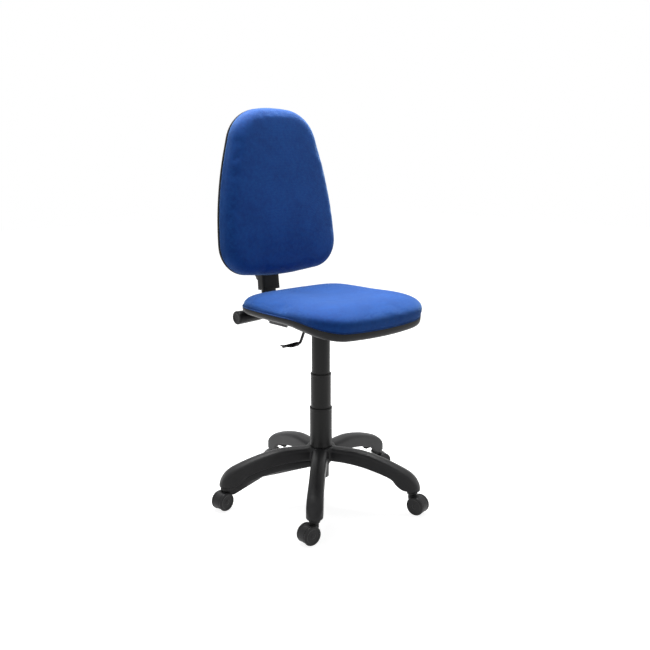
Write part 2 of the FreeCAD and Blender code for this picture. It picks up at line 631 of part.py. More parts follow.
def back_upright():
    foot = box_about("bar_foot", "bar_width", "0", "bar_front + bar_thick", "-bar_thick / 2",
                     "bar_thick / 2")
    post = box_about("bar_post", "bar_width", "bar_front", "bar_front + bar_thick", "-bar_thick / 2",
                     "bar_top")
    knuckle = cylinder("knuckle", "knuckle_radius", "2 * (channel_half - plate_thick - part_gap)",
                       ("plate_thick + part_gap - channel_half", 0, 0), "x")
    bore = cylinder("knuckle_bore", "pivot_radius + run_gap", "2 * channel_half", ("-channel_half", 0, 0),
                    "x")
    bar = cut("back_upright", fuse("bar_whole", foot, post, knuckle), bore)
    keep("back_upright", lean(bar))
    middle = "(bar_front + bar_thick / 2)"
    shell = box_about("bar_cover_out", "bar_cover_width", f"{middle} - bar_cover_depth / 2",
                      f"{middle} + bar_cover_depth / 2", "bar_cover_low", "bar_cover_top")
    room = box_about("bar_cover_in", "bar_width + 2 * part_gap", "bar_front - part_gap",
                     "bar_front + bar_thick + part_gap", "-bar_thick / 2 - part_gap", "bar_cover_top + 1")
    mouth = box_about("bar_cover_mouth", "bar_width + 2 * part_gap", f"{middle} - bar_cover_depth",
                      "bar_front", "-bar_thick / 2 - part_gap", "bar_thick / 2 + part_gap")
    keep("upright_cover", lean(cut("upright_cover", shell, fuse("bar_cover_room", room, mouth))))


def along_back(name, radius, length, ups, start, x=0):
    """Rods along the back's own y, one for each height up the back."""
    return [cylinder(f"{name}_{number}", radius, length, (x, start, up), "y")
            for number, up in enumerate(ups)]


HAT_NEAR = "(back_rim + back_board_thick + part_gap)"
HAT_FAR = "(back_rim + back_board_thick + back_dish - back_shell_thick - part_gap)"
HAT_BOLTS = ("hat_middle - hat_bolt_step / 2", "hat_middle + hat_bolt_step / 2")
HEAD_SEAT = "bar_front - slide_gap - hat_bolt_head - 0.5"


def back_carrier():
    """The sleeve that slides on the upright, the bolts through its front wall and its clamping knob."""
    top = "sleeve_low + sleeve_high"
    block = box_about("sleeve_out", "sleeve_width", "sleeve_front", "sleeve_rear", "sleeve_low", top)
    way = box_about("sleeve_way", "bar_width + 2 * slide_gap", "bar_front - slide_gap",
                    "bar_front + bar_thick + slide_gap", "sleeve_low - 1", f"{top} - sleeve_wall")
    up = "sleeve_low + height_knob_up"
    stud_way = cylinder("stud_way", "height_stud_radius + run_gap", 20,
                        (0, "bar_front + bar_thick - 1", up), "y")
    holes = along_back("sleeve_hole", "bolt_radius + 0.2", 30, HAT_BOLTS, "sleeve_front - 1")
    recesses = along_back("sleeve_recess", "bolt_head_radius + 0.5", 10, HAT_BOLTS, HEAD_SEAT)
    recesses = [common(f"sleeve_pocket_{n}", recess, box_about(
        f"sleeve_pocket_box_{n}", "bar_width", HEAD_SEAT, "bar_front", "sleeve_low", top))
        for n, recess in enumerate(recesses)]
    keep("back_sleeve", lean(cut("back_sleeve", block,
                                 fuse("sleeve_cuts", way, stud_way, *recesses, *front_holes(holes)))))
    heads = along_back("back_bolt_head", "bolt_head_radius", "hat_bolt_head", HAT_BOLTS, HEAD_SEAT)
    shanks = along_back("back_bolt_shank", "bolt_radius", f"{HEAD_SEAT} - {HAT_FAR} + 7", HAT_BOLTS,
                        f"{HAT_FAR} - 7")
    keep("back_bolts", lean(group("back_bolts", *[fuse(f"back_bolt_{n}", *pair)
                                                 for n, pair in enumerate(zip(heads, shanks))])))
    rear = "bar_front + bar_thick + part_gap"
    knob_y = "sleeve_rear + part_gap"
    keep("height_knob_stud", lean(cylinder("height_knob_stud", "height_stud_radius",
                                           f"{knob_y} + 14 - ({rear})", (0, rear, up), "y")))
    grip = fuse("height_grip", cylinder("height_neck", "height_knob_radius * 0.55", 8, (0, knob_y, up),
                                        "y"),
                cylinder("height_disc", "height_knob_radius", "height_knob_length - 8",
                         (0, f"{knob_y} + 8", up), "y"))
    bore = cylinder("height_bore", "height_stud_radius + run_gap", "15.3", (0, f"{knob_y} - 1", up), "y")
    keep("height_knob", lean(cut("height_knob", grip, bore)))


def front_holes(holes):
    """The bolts' holes, kept to the sleeve's front wall."""
    wall = box_about("sleeve_front_wall", "sleeve_width", "sleeve_front - 1", "bar_front", "sleeve_low",
                     "sleeve_low + sleeve_high")
    return [common(f"{hole.Name}_front", hole, wall) for hole in holes]


HAT_SCREWS = [(f"{side} * (hat_width / 2 + 12)", f"hat_middle + {up} * hat_high / 3")
              for side in (-1, 1) for up in (-1, 1)]


def back():
    plan = back_plan("back_outline")
    small = inset("back_small", plan, "board_inset")
    pad = slab_y("back_pad", plan, "back_face", "back_rim + back_skirt")
    behind = slab_y("back_pad_room", inset("back_pad_inner", plan, "board_inset - part_gap"),
                    "back_rim - part_gap", "back_rim + back_skirt + 1")
    keep("back_cushion", lean(cut("back_cushion", pad, behind)))
    board = slab_y("back_board_full", small, "back_rim", "back_rim + back_board_thick")
    holes = [cylinder(f"hat_hole_{n}", "bolt_radius", "back_board_thick + 2", (x, "back_rim - 1", z), "y")
             for n, (x, z) in enumerate(HAT_SCREWS)]
    keep("back_board", lean(cut("back_board", board, fuse("board_back_holes", *holes))))
    rear = "back_rim + back_board_thick + back_dish"
    outer = dished("shell_outer", "part_gap", "back_rim + back_skirt + part_gap", rear)
    hollow = dished("shell_inner", "part_gap + back_shell_thick", "back_rim + back_skirt - 1",
                    f"{rear} - back_shell_thick")
    ways = along_back("shell_back_hole", "bolt_radius + 0.2", "back_dish", HAT_BOLTS, f"{rear} - 10")
    keep("back_shell", lean(cut("back_shell", outer, fuse("shell_back_cuts", hollow, *ways))))


def back_bridge():
    """A pressed steel bridge from the board to the inside of the dished shell."""
    low, top = "hat_middle - hat_high / 2", "hat_middle + hat_high / 2"
    wing = 3
    crown = box_about("hat_crown", "hat_width", HAT_NEAR, HAT_FAR, low, top)
    wings = box_about("hat_wings", "hat_width + 44", HAT_NEAR, f"{HAT_NEAR} + {wing}", low, top)
    room = box_about("hat_room", "hat_width - 6", f"{HAT_NEAR} - 1", f"{HAT_FAR} - {wing}", f"{low} - 1",
                     f"{top} + 1")
    holes = [cylinder(f"wing_hole_{n}", "bolt_radius + 0.2", 8, (x, f"{HAT_NEAR} - 1", z), "y")
             for n, (x, z) in enumerate(HAT_SCREWS)]
    ways = along_back("hat_way", "bolt_radius + 0.2", 14, HAT_BOLTS, f"{HAT_FAR} - 12")
    keep("back_bridge", lean(cut("back_bridge", fuse("hat_whole", crown, wings),
                                 fuse("hat_cuts", room, *holes, *ways))))
    screws = [fuse(f"bridge_screw_{n}",
                   cylinder(f"bridge_head_{n}", "bolt_head_radius", 4, (x, f"{HAT_NEAR} + {wing}", z), "y"),
                   cylinder(f"bridge_shank_{n}", "bolt_radius - 0.1", f"{HAT_NEAR} + {wing} - back_rim",
                            (x, "back_rim + 0.1", z), "y"))
              for n, (x, z) in enumerate(HAT_SCREWS)]
    keep("bridge_screws", lean(group("bridge_screws", *screws)))


def dished(name, shrink, y0, y1):
    """The back's outline, straight from y0 past the board and then drawn in to a smaller one at y1."""
    straight = "back_rim + back_board_thick + 1"
    wide = inset(name + "_rim", back_plan(name + "_wide"), shrink)
    narrow = inset(name + "_crown", back_plan(name + "_narrow"), f"{shrink} + back_slope")
    wall = slab_y(name + "_wall", wide, y0, straight)
    front = place(group(name + "_front", wide), (0, straight, 0))
    rear = place(group(name + "_rear", narrow), (0, y1, 0))
    doc.recompute()
    slope = doc.addObject("Part::Feature", name + "_slope")
    wires = [Part.Wire(Part.sortEdges(piece.Shape.Edges)[0]) for piece in (front, rear)]
    slope.Shape = Part.makeLoft(wires, True, True)
    return fuse(name, wall, slope)


# ---- casters ---------------------------------------------------------------------------------------

def wheel(name, side):
    """One wheel about Y: a broad rim outside, a narrower drum under the hood, hollow on its inner side.
    side is 1 or -1 along the axle."""
    face, shoulder = f"{side} * (wheel_outer - wheel_face)", f"{side} * wheel_shoulder"
    outer, inner = f"{side} * wheel_outer", f"{side} * wheel_inner"
    room, bore = "drum_radius - tread_thick", "axle_radius + run_gap"
    turned = turned_body(name + "_turned", [
        (0, outer), ("wheel_radius - 2.5", outer), ("wheel_radius", f"{side} * (wheel_outer - 2.5)"),
        ("wheel_radius", f"{side} * (wheel_shoulder + 1)"), ("wheel_radius - 1", shoulder),
        ("drum_radius", shoulder), ("drum_radius", inner), (room, inner), (room, face),
        ("wheel_hub_radius", face), ("wheel_hub_radius", inner), (bore, inner), (bore, face), (0, face)],
        "XY_Plane", "Y_Axis")
    return place(group(name + "_placed", turned), ("trail", 0, "wheel_radius"))


def caster(number):
    """A swivelling hood with an axle and two wheels that turn apart from each other."""
    name = f"caster_{number + 1}"

    def across(piece, radius, half):
        return cylinder(f"{name}_{piece}", radius, f"2 * ({half})",
                        ("trail", f"-({half})", "wheel_radius"), "y")

    def trimmed(piece, whole, top):
        block = box(f"{name}_{piece}_block", "6 * hood_radius", "4 * hood_radius", "4 * hood_radius",
                    ("-3 * hood_radius", "-2 * hood_radius", f"{top} - 4 * hood_radius"))
        return cut(f"{name}_{piece}_trimmed", whole, block)
    barrel = trimmed("barrel", across("barrel", "hood_radius", "hood_half"), "hood_foot")
    high = "leg_tip_low - collar_high - part_gap"
    boss = fuse(f"{name}_neck",
                cylinder(f"{name}_boss", "boss_radius", f"{high} - wheel_radius - 8",
                         (0, 0, "wheel_radius + 8")),
                cylinder(f"{name}_cap", "cap_radius", f"{high} - 2 * wheel_radius - 1.5",
                         (0, 0, "2 * wheel_radius + 1.5")))
    rooms = [cylinder(f"{name}_room_{side}", "drum_radius + hood_gap", "hood_radius",
                      ("trail", start, "wheel_radius"), "y")
             for side, start in (("left", "web_half"), ("right", "-web_half - hood_radius"))]
    solid = cut(f"{name}_body", fuse(f"{name}_whole", barrel, boss), fuse(f"{name}_rooms", *rooms))
    stem_bore = cylinder(f"{name}_stem_bore", "stem_radius + run_gap", "60",
                         (0, 0, "stem_low - part_gap"))
    axle_bore = across("axle_bore", "axle_radius + run_gap", "web_half + 1")
    hood = cut(f"{name}_hood", solid, fuse(f"{name}_bores", stem_bore, axle_bore))
    pieces = {"hood": hood, "axle": across("shaft", "axle_radius", "wheel_outer - wheel_face - part_gap"),
              "wheel_right": wheel(name + "_right", -1), "wheel_left": wheel(name + "_left", 1)}
    for piece, thing in pieces.items():
        carried = group(f"{name}_{piece}_set", thing)
        spot = Rotation(Vector(0, 0, 1), leg_angle(number)).multVec(Vector(size("leg_reach"), 0, 0))
        carried.Placement = Placement(spot, Rotation(Vector(0, 0, 1), CASTER_TRAIL_ANGLES[number]))
        keep(f"{name}_{piece}", carried)


def caster_stems():
    stems, rings = [], []
    for number in range(5):
        name = f"stem_{number + 1}"
        stem = fuse(name, cylinder(name + "_pin", "stem_radius", "stem_top - stem_low", (0, 0, "stem_low")),
                    cylinder(name + "_collar", "collar_radius", "collar_high",
                             (0, 0, "leg_tip_low - collar_high")))
        stems.append(spin(stem, leg_angle(number), "leg_reach"))
        rings.append(spin(ring(f"grip_{number + 1}", "stem_radius + 1 - run_gap", "stem_radius + run_gap",
                               "12", (0, 0, "leg_tip_low + 8")), leg_angle(number), "leg_reach"))
    keep("caster_stems", group("caster_stems", *stems))
    keep("caster_grip_rings", group("caster_grip_rings", *rings))


star_base()
stand_tube()
thrust_bearing()
gas_cylinder()
telescopic_cover()
mechanism()
seat_bolts()
lever()
tilt_lock()
tilt_spring()
seat()
back_upright()
back_carrier()
back()
back_bridge()
caster_stems()
for caster_number in range(5):
    caster(caster_number)
doc.recompute()

faults = [thing.Name for thing in doc.Objects if {"Invalid", "Error"} & set(thing.State)]
for node, thing in nodes.items():
    if thing.Shape.isNull() or not thing.Shape.isValid() or not thing.Shape.Solids:
        faults.append(node)
if faults:
    raise SystemExit(f"failed: {faults}")
os.makedirs("parts", exist_ok=True)
for node, thing in nodes.items():
    thing.Shape.exportStep(f"parts/{node}.step")
print(len(nodes), "nodes")
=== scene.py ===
import json
import math

import bpy
import numpy as np
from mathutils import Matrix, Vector


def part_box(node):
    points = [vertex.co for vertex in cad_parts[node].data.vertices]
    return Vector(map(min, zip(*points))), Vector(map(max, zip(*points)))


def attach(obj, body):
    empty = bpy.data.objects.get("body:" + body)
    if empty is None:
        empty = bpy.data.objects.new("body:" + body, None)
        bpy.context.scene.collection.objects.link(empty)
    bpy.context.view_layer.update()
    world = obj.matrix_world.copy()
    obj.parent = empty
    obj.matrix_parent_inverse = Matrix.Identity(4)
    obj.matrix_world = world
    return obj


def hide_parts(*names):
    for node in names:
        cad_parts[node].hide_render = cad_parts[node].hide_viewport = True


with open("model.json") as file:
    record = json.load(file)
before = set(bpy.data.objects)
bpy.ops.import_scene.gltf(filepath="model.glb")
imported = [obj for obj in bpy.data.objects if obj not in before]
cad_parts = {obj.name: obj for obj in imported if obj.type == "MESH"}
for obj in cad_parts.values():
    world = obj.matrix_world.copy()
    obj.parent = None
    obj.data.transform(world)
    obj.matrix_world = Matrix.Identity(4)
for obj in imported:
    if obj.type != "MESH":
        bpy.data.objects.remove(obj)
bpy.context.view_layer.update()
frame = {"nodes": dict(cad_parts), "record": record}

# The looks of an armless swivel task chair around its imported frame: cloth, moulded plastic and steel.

NODES = frame["nodes"]
JOINTS = {joint["name"]: joint for joint in frame["record"]["behaviour"]["joints"]}
MM = 0.001
TAU = 2 * np.pi


def corners(node):
    """A node's lowest and highest corners as two arrays."""
    low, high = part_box(node)
    return np.array(low), np.array(high)


# ---- shapes -----------------------------------------------------------------------------------------

def mesh_object(name, points, faces, smooth=True):
    """A new object at the origin from vertex places and faces."""
    mesh = bpy.data.meshes.new(name)
    mesh.from_pydata(np.asarray(points).tolist(), [], [tuple(face) for face in faces])
    mesh.polygons.foreach_set("use_smooth", np.full(len(mesh.polygons), smooth))
    mesh.update()
    thing = bpy.data.objects.new(name, mesh)
    bpy.context.scene.collection.objects.link(thing)
    return thing


def loft_data(rings, ends="fans"):
    """Vertices and outward quads of closed rings stacked into rings[i, j]. Each ring turns anticlockwise
    about the way that the stack grows. ends is fans, which close both ends with a middle point, or joined,
    which ties the last ring back to the first."""
    rings = np.asarray(rings, float)
    count, around = rings.shape[:2]
    points = rings.reshape(-1, 3)
    row = np.arange(count if ends == "joined" else count - 1)[:, None]
    column = np.arange(around)[None, :]
    up, beside = (row + 1) % count, (column + 1) % around
    quads = np.stack([row * around + column, row * around + beside, up * around + beside,
                      up * around + column], -1).reshape(-1, 4)
    faces = quads.tolist()
    if ends == "fans":
        points = np.vstack([points, rings[0].mean(0), rings[-1].mean(0)])
        last = (count - 1) * around
        step = np.arange(around)
        beside = (step + 1) % around
        first_middle, last_middle = len(points) - 2, len(points) - 1
        faces += [(int(b), int(a), first_middle) for a, b in zip(step, beside)]
        faces += [(int(last + a), int(last + b), last_middle) for a, b in zip(step, beside)]
    return points, faces


def loft(name, rings, ends="fans"):
    """A closed skin over a stack of rings."""
    return mesh_object(name, *loft_data(rings, ends))


def rounded_line(corners_, radii, steps=6):
    """An open line through corners with each inner corner turned into an arc of its own radius."""
    corners_ = np.asarray(corners_, float)
    radii = np.broadcast_to(radii, len(corners_))
    line = [corners_[:1]]
    for before, corner, after, radius in zip(corners_, corners_[1:], corners_[2:], radii[1:]):
        back, on = before - corner, after - corner
        long_back, long_on = np.linalg.norm(back), np.linalg.norm(on)
        back, on = back / long_back, on / long_on
        half = np.arccos(np.clip(back @ on, -1, 1)) / 2
        if radius <= 0 or half > np.pi / 2 - 0.01:
            line.append(corner[None])
            continue
        reach = min(radius / np.tan(half), 0.49 * long_back, 0.49 * long_on)
        radius = reach * np.tan(half)
        middle = corner + (back + on) / np.linalg.norm(back + on) * radius / np.sin(half)
        first, last = corner + back * reach - middle, corner + on * reach - middle
        sweep = np.arccos(np.clip(first @ last / radius**2, -1, 1))
        share = np.linspace(0, 1, steps + 1)[:, None]
        line.append(middle + (np.sin((1 - share) * sweep) * first + np.sin(share * sweep) * last)
                    / np.sin(sweep))
    return np.vstack(line + [corners_[-1:]])


def lathe_rings(profile, segments=64, wave=None):
    """Rings of a (radius, height) profile turned about Z: x = r cos a, y = r sin a. wave(angle, height)
    scales the radius."""
    angle = np.linspace(0, TAU, segments, endpoint=False)
    radius, height = profile[:, 0][:, None], profile[:, 1][:, None]
    scale = wave(angle[None, :], height) if wave else 1.0
    spread = radius * scale * np.ones_like(angle)[None, :]
    return np.stack([spread * np.cos(angle), spread * np.sin(angle),
                     height * np.ones_like(angle)[None, :]], -1)


def superellipse(count, half_x, half_y, power):
    """Points round |x/a|^p + |y/b|^p = 1, anticlockwise."""
    angle = np.linspace(0, TAU, count, endpoint=False)
    cosine, sine = np.cos(angle), np.sin(angle)
    return np.stack([half_x * np.sign(cosine) * np.abs(cosine) ** (2 / power),
                     half_y * np.sign(sine) * np.abs(sine) ** (2 / power)], -1)


def evenly(outline, count):
    """A closed outline of count points spaced evenly along it."""
    closed = np.vstack([outline, outline[:1]])
    far = np.concatenate([[0], np.cumsum(np.linalg.norm(np.diff(closed, axis=0), axis=1))])
    at = np.linspace(0, far[-1], count, endpoint=False)
    return np.stack([np.interp(at, far, closed[:, axis]) for axis in range(closed.shape[1])], -1)


def arc_outline(half_plan, count):
    """A symmetric closed outline, anticlockwise from its foot. Each even point of half_plan, from the first
    to the last, is the middle of a circular arc between its neighbours, and the left is a mirror image."""
    half_plan = np.asarray(half_plan, float)
    whole = np.vstack([half_plan, (half_plan * [-1, 1])[-2:0:-1]])
    first, middle, last = np.roll(whole, 1, 0)[::2], whole[::2], np.roll(whole, -1, 0)[::2]
    one, two = middle - first, last - first
    twist = 2 * (one[:, 0] * two[:, 1] - one[:, 1] * two[:, 0])
    square_one, square_two = (one ** 2).sum(1), (two ** 2).sum(1)
    centre = first + np.stack([two[:, 1] * square_one - one[:, 1] * square_two,
                               one[:, 0] * square_two - two[:, 0] * square_one], -1) / twist[:, None]
    start, end = first - centre, last - centre
    begin = np.arctan2(start[:, 1], start[:, 0])
    sweep = np.mod(np.arctan2(end[:, 1], end[:, 0]) - begin, TAU)
    sweep = np.where(twist > 0, sweep, sweep - TAU)
    turn = begin[:, None] + sweep[:, None] * np.linspace(0, 1, 60)[None, :-1]
    radius = np.linalg.norm(start, axis=1)[:, None]
    line = centre[:, None] + np.stack([radius * np.cos(turn), radius * np.sin(turn)], -1)
    line = evenly(line.reshape(-1, 2), count)
    for _ in range(4):
        line = (np.roll(line, 1, 0) + 2 * line + np.roll(line, -1, 0)) / 4
    return line


def drawn_in(outline, amount):
    """A closed outline moved inwards along its own normals, and past 3 cm towards its middle too."""
    way = np.roll(outline, -1, 0) - np.roll(outline, 1, 0)
    way /= np.linalg.norm(way, axis=1)[:, None]
    inward = np.stack([-way[:, 1], way[:, 0]], -1)
    near = min(amount, 0.03)
    for _ in range(int(6 + abs(near) * 600)):
        inward = (np.roll(inward, 1, 0) + 2 * inward + np.roll(inward, -1, 0)) / 4
    inward /= np.linalg.norm(inward, axis=1)[:, None]
    middle = outline.mean(0)
    moved = outline + inward * near
    return middle + (moved - middle) * (1 - (amount - near) / 0.2)


def smoothstep(low, high, value):
    """0 up to low and 1 from high, with 3t^2 - 2t^3 between them."""
    share = np.clip((value - low) / (high - low), 0, 1)
    return share * share * (3 - 2 * share)


def placed(rings, origin, across, along, up):
    """Points moved from x, y, z in metres to an origin and three directions."""
    return origin + rings @ np.array([across, along, up])


def evaluated(thing):
    """Applies the object's modifiers to its mesh."""
    picture = bpy.context.evaluated_depsgraph_get()
    mesh = bpy.data.meshes.new_from_object(thing.evaluated_get(picture), depsgraph=picture)
    thing.modifiers.clear()
    thing.data = mesh
    return thing


def modifier(thing, kind, **settings):
    """Adds a modifier and sets its properties."""
    added = thing.modifiers.new(kind.lower(), kind)
    for key, value in settings.items():
        setattr(added, key, value)
    return added


def fused(name, parts, voxel, rounds=4, factor=0.5):
    """Closed skins melted into one moulding, with its inner corners filled a little."""
    points, faces, start = [], [], 0
    for part_points, part_faces in parts:
        points.append(part_points)
        faces += [tuple(index + start for index in face) for face in part_faces]
        start += len(part_points)
    thing = mesh_object(name, np.vstack(points), faces)
    modifier(thing, "REMESH", mode="VOXEL", voxel_size=voxel, use_smooth_shade=True)
    modifier(thing, "SMOOTH", factor=factor, iterations=rounds)
    return evaluated(thing)


def vertices(thing):
    """The places of a mesh's vertices."""
    spots = np.empty(len(thing.data.vertices) * 3)
    thing.data.vertices.foreach_get("co", spots)
    return spots.reshape(-1, 3)


def set_vertices(thing, spots):
    """Moves a mesh's vertices."""
    thing.data.vertices.foreach_set("co", np.asarray(spots, float).ravel())
    thing.data.update()


def flip_if_inside_out(thing):
    """Turns a closed mesh's faces outwards, told by the sign of its volume."""
    thing.data.calc_loop_triangles()
    corners_ = np.empty(len(thing.data.loop_triangles) * 3, int)
    thing.data.loop_triangles.foreach_get("vertices", corners_)
    spots = vertices(thing)[corners_.reshape(-1, 3)]
    if np.einsum("ij,ij->i", spots[:, 0], np.cross(spots[:, 1], spots[:, 2])).sum() < 0:
        thing.data.flip_normals()
    return thing


def copied(name, thing, origin, angle):
    """A copy of a finished mesh turned about Z and moved, with its place in its mesh."""
    copy = bpy.data.objects.new(name, thing.data.copy())
    bpy.context.scene.collection.objects.link(copy)
    cosine, sine = math.cos(angle), math.sin(angle)
    turn = np.array([[cosine, sine, 0], [-sine, cosine, 0], [0, 0, 1]])
    set_vertices(copy, vertices(thing) @ turn + origin)
    return copy


def finished(thing, body, material, *nodes, slot=None):
    """Dresses a piece, lets it ride on its body and stand for its CAD nodes."""
    thing.data.materials.clear()
    thing.data.materials.append(material)
    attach(thing, body)
    if nodes:
        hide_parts(*nodes)
    return thing


# ---- materials --------------------------------------------------------------------------------------

class Signal:
    """One value in a material's nodes. Sums and products of signals add Math nodes."""

    def __init__(self, finish, socket):
        self.finish, self.socket = finish, socket

    def math(self, operation, other=0.0, swap=False):
        """A Math node of this value and another, in either order."""
        pair = (other, self) if swap else (self, other)
        return self.finish.node("ShaderNodeMath", {"operation": operation}, dict(enumerate(pair)))

    def __add__(self, other):
        return self.math("ADD", other)

    def __sub__(self, other):
        return self.math("SUBTRACT", other)

    def __rsub__(self, other):
        return self.math("SUBTRACT", other, swap=True)

    def __mul__(self, other):
        return self.math("MULTIPLY", other)

    __radd__, __rmul__ = __add__, __mul__


class Tree:
    """Nodes under construction, made by one method."""

    def __init__(self, tree):
        self.tree = tree

    def set(self, node, inputs):
        """Links signals to a node's sockets and sets the rest; _ in a name stands for a space."""
        for key, value in inputs.items():
            socket = node.inputs[key.replace("_", " ") if isinstance(key, str) else key]
            if isinstance(value, Signal):
                self.tree.links.new(value.socket, socket)
            else:
                socket.default_value = value

    def node(self, kind, settings=None, inputs=None, output=0):
        """Makes a node: its settings first, then its sockets, and gives one of its outputs."""
        made = self.tree.nodes.new(kind)
        for key, value in (settings or {}).items():
            setattr(made, key, value)
        self.set(made, inputs or {})
        return Signal(self, made.outputs[output])

    def seen_plainly(self):
        """1 where the camera, or a camera ray carried on by gloss or glass, looks; else 0."""
        seen = [self.node("ShaderNodeLightPath", output=f"Is {way} Ray")
                for way in ("Camera", "Glossy", "Transmission")]
        return seen[0].math("MAXIMUM", seen[1]).math("MAXIMUM", seen[2])


class Finish(Tree):
    """A material under construction, with one Principled surface."""

    def __init__(self, name, **constants):
        self.material = bpy.data.materials.new(name)
        self.material.use_nodes = True
        super().__init__(self.material.node_tree)
        self.surface = self.tree.nodes["Principled BSDF"]
        self.set(self.surface, constants)

    def place(self):
        """The surface point on the object, in metres."""
        return self.node("ShaderNodeTexCoord", output="Object")

    def noise(self, size, detail=3.0, rough=0.55, stretch=(1, 1, 1)):
        """Cloudy noise whose lumps are about size metres across."""
        mapped = self.node("ShaderNodeMapping", None, {"Vector": self.place(), "Scale": stretch})
        return self.node("ShaderNodeTexNoise", None, {"Vector": mapped, "Scale": 1 / size,
                                                      "Detail": detail, "Roughness": rough})

    def blend(self, factor, first, second):
        """A colour between two colours."""
        return self.node("ShaderNodeMix", {"data_type": "RGBA"}, {0: factor, 6: first, 7: second},
                         output=2)

    def spread(self, signal, low, high):
        """Carries a signal's range from low to high onto 0 to 1."""
        return self.node("ShaderNodeMapRange", None, {"Value": signal, "From Min": low, "From Max": high})

    def bump(self, height, distance, strength=1.0):
        """A normal from a height signal in units of distance."""
        return self.node("ShaderNodeBump", None, {"Height": height, "Distance": distance,
                                                  "Strength": strength})

    def done(self, **links):
        """Sets the surface's sockets and gives the material."""
        self.set(self.surface, links)
        return self.material


def colour(red, green, blue):
    """A colour in linear light."""
    return (red, green, blue, 1.0)


def woven(name, deep, light, pitch=1.7 * MM):
    """Upholstery cloth: yarns crossing in every plane, with soft mottling and a dusty sheen."""
    cloth = Finish(name, Sheen_Weight=0.4, Sheen_Roughness=0.4, Specular_IOR_Level=0.2,
                   Sheen_Tint=colour(0.4, 0.68, 1.0))
    parts = cloth.node("ShaderNodeSeparateXYZ", None, {0: cloth.place()})
    axes = [Signal(cloth, output) for output in parts.socket.node.outputs]
    waves = [(axis * (TAU / pitch)).math("SINE") for axis in axes]
    yarns = waves[0] * waves[1] + waves[1] * waves[2] + waves[2] * waves[0]
    mottle = cloth.noise(9 * MM, 4.0, 0.6)
    cloudy = cloth.noise(70 * MM, 2.0)
    fibre = cloth.noise(0.7 * MM, 2.0)
    shade = yarns * 0.10 + cloth.spread(mottle, 0.3, 0.7) * 0.45 + cloth.spread(cloudy, 0.3, 0.7) * 0.35
    return cloth.done(Base_Color=cloth.blend(shade, deep, light),
                      Roughness=cloth.spread(mottle, 0.0, 1.0) * 0.12 + 0.8,
                      Normal=cloth.bump(yarns * 0.5 + fibre * 0.9, 0.25 * MM, 0.6))


def moulded(name, dark, pale, grain, rough, size=1.1 * MM, depth=0.06 * MM, gloss=0.0):
    """Moulded plastic with a fine spark-eroded grain and faint handling marks."""
    plastic = Finish(name, Coat_Roughness=0.35, Coat_Weight=gloss, Specular_IOR_Level=0.2)
    fine = plastic.noise(size, 2.0)
    broad = plastic.noise(55 * MM, 3.0)
    marks = plastic.noise(5 * MM, 5.0, 0.7, (1, 1, 3))
    worn = plastic.spread(marks, 0.55, 0.8)
    return plastic.done(Base_Color=plastic.blend(plastic.spread(broad, 0.3, 0.7) * 0.7 + worn * 0.3,
                                                 dark, pale),
                        Roughness=broad * 0.10 + worn * -0.08 + (rough - 0.05),
                        Normal=plastic.bump(fine * grain, depth))


def metal(name, dark, pale, rough, metallic=1.0, stretch=(1, 1, 1), size=6 * MM):
    """Metal with cloudy tone and fine scratches along one direction."""
    steel = Finish(name, Metallic=metallic)
    cloud = steel.noise(size, 4.0, 0.6, stretch)
    lines = steel.noise(0.8 * MM, 2.0, 0.5, stretch)
    return steel.done(Base_Color=steel.blend(steel.spread(cloud, 0.3, 0.7), dark, pale),
                      Roughness=cloud * 0.14 + (rough - 0.07), Normal=steel.bump(lines, 0.02 * MM))


def plywood(name):
    """Pale beech ply: long streaks across the sheet and thin plies down its edge."""
    wood = Finish(name, Specular_IOR_Level=0.3)
    streak = wood.noise(6 * MM, 4.0, 0.6, (0.12, 1, 1))
    plies = wood.node("ShaderNodeTexWave", {"bands_direction": "Z"},
                      {"Vector": wood.place(), "Scale": 160.0, "Distortion": 0.6})
    tone = wood.spread(streak, 0.3, 0.7) * 0.7 + plies * 0.3
    return wood.done(Base_Color=wood.blend(tone, colour(0.36, 0.22, 0.11), colour(0.66, 0.47, 0.28)),
                     Roughness=streak * 0.2 + 0.5, Normal=wood.bump(streak, 0.1 * MM))


CLOTH = woven("blue_woven_cloth", colour(0.002, 0.034, 0.185), colour(0.008, 0.074, 0.32))
HEM = woven("blue_hem_cloth", colour(0.004, 0.026, 0.14), colour(0.010, 0.052, 0.22), 1.2 * MM)
SHELL = moulded("grained_black_shell", colour(0.010, 0.010, 0.011), colour(0.018, 0.018, 0.019), 1.0, 0.46)
NYLON = moulded("satin_base_nylon", colour(0.013, 0.013, 0.014), colour(0.024, 0.024, 0.025), 0.9, 0.44,
                0.9 * MM)
TUBES = moulded("telescopic_cover_plastic", colour(0.004, 0.004, 0.004), colour(0.008, 0.008, 0.008), 0.5,
                0.45, 0.8 * MM, 0.03 * MM, 0.03)
TREAD = moulded("caster_nylon", colour(0.008, 0.008, 0.009), colour(0.017, 0.017, 0.018), 0.5, 0.36,
                0.8 * MM, 0.04 * MM, 0.1)
GRIP = moulded("knob_plastic", colour(0.009, 0.009, 0.010), colour(0.018, 0.018, 0.019), 0.8, 0.42)
PAINT = metal("black_powder_coat", colour(0.010, 0.010, 0.011), colour(0.018, 0.018, 0.019), 0.42, 0.0)
ZINC = metal("zinc_plated_steel", colour(0.42, 0.42, 0.41), colour(0.62, 0.62, 0.60), 0.34)
GROUND = metal("ground_steel", colour(0.62, 0.62, 0.63), colour(0.78, 0.78, 0.79), 0.18, 1.0, (1, 1, 0.1))
RUBBER = moulded("buffer_rubber", colour(0.010, 0.010, 0.010), colour(0.022, 0.022, 0.022), 1.0, 0.7)
PLY = plywood("beech_plywood")

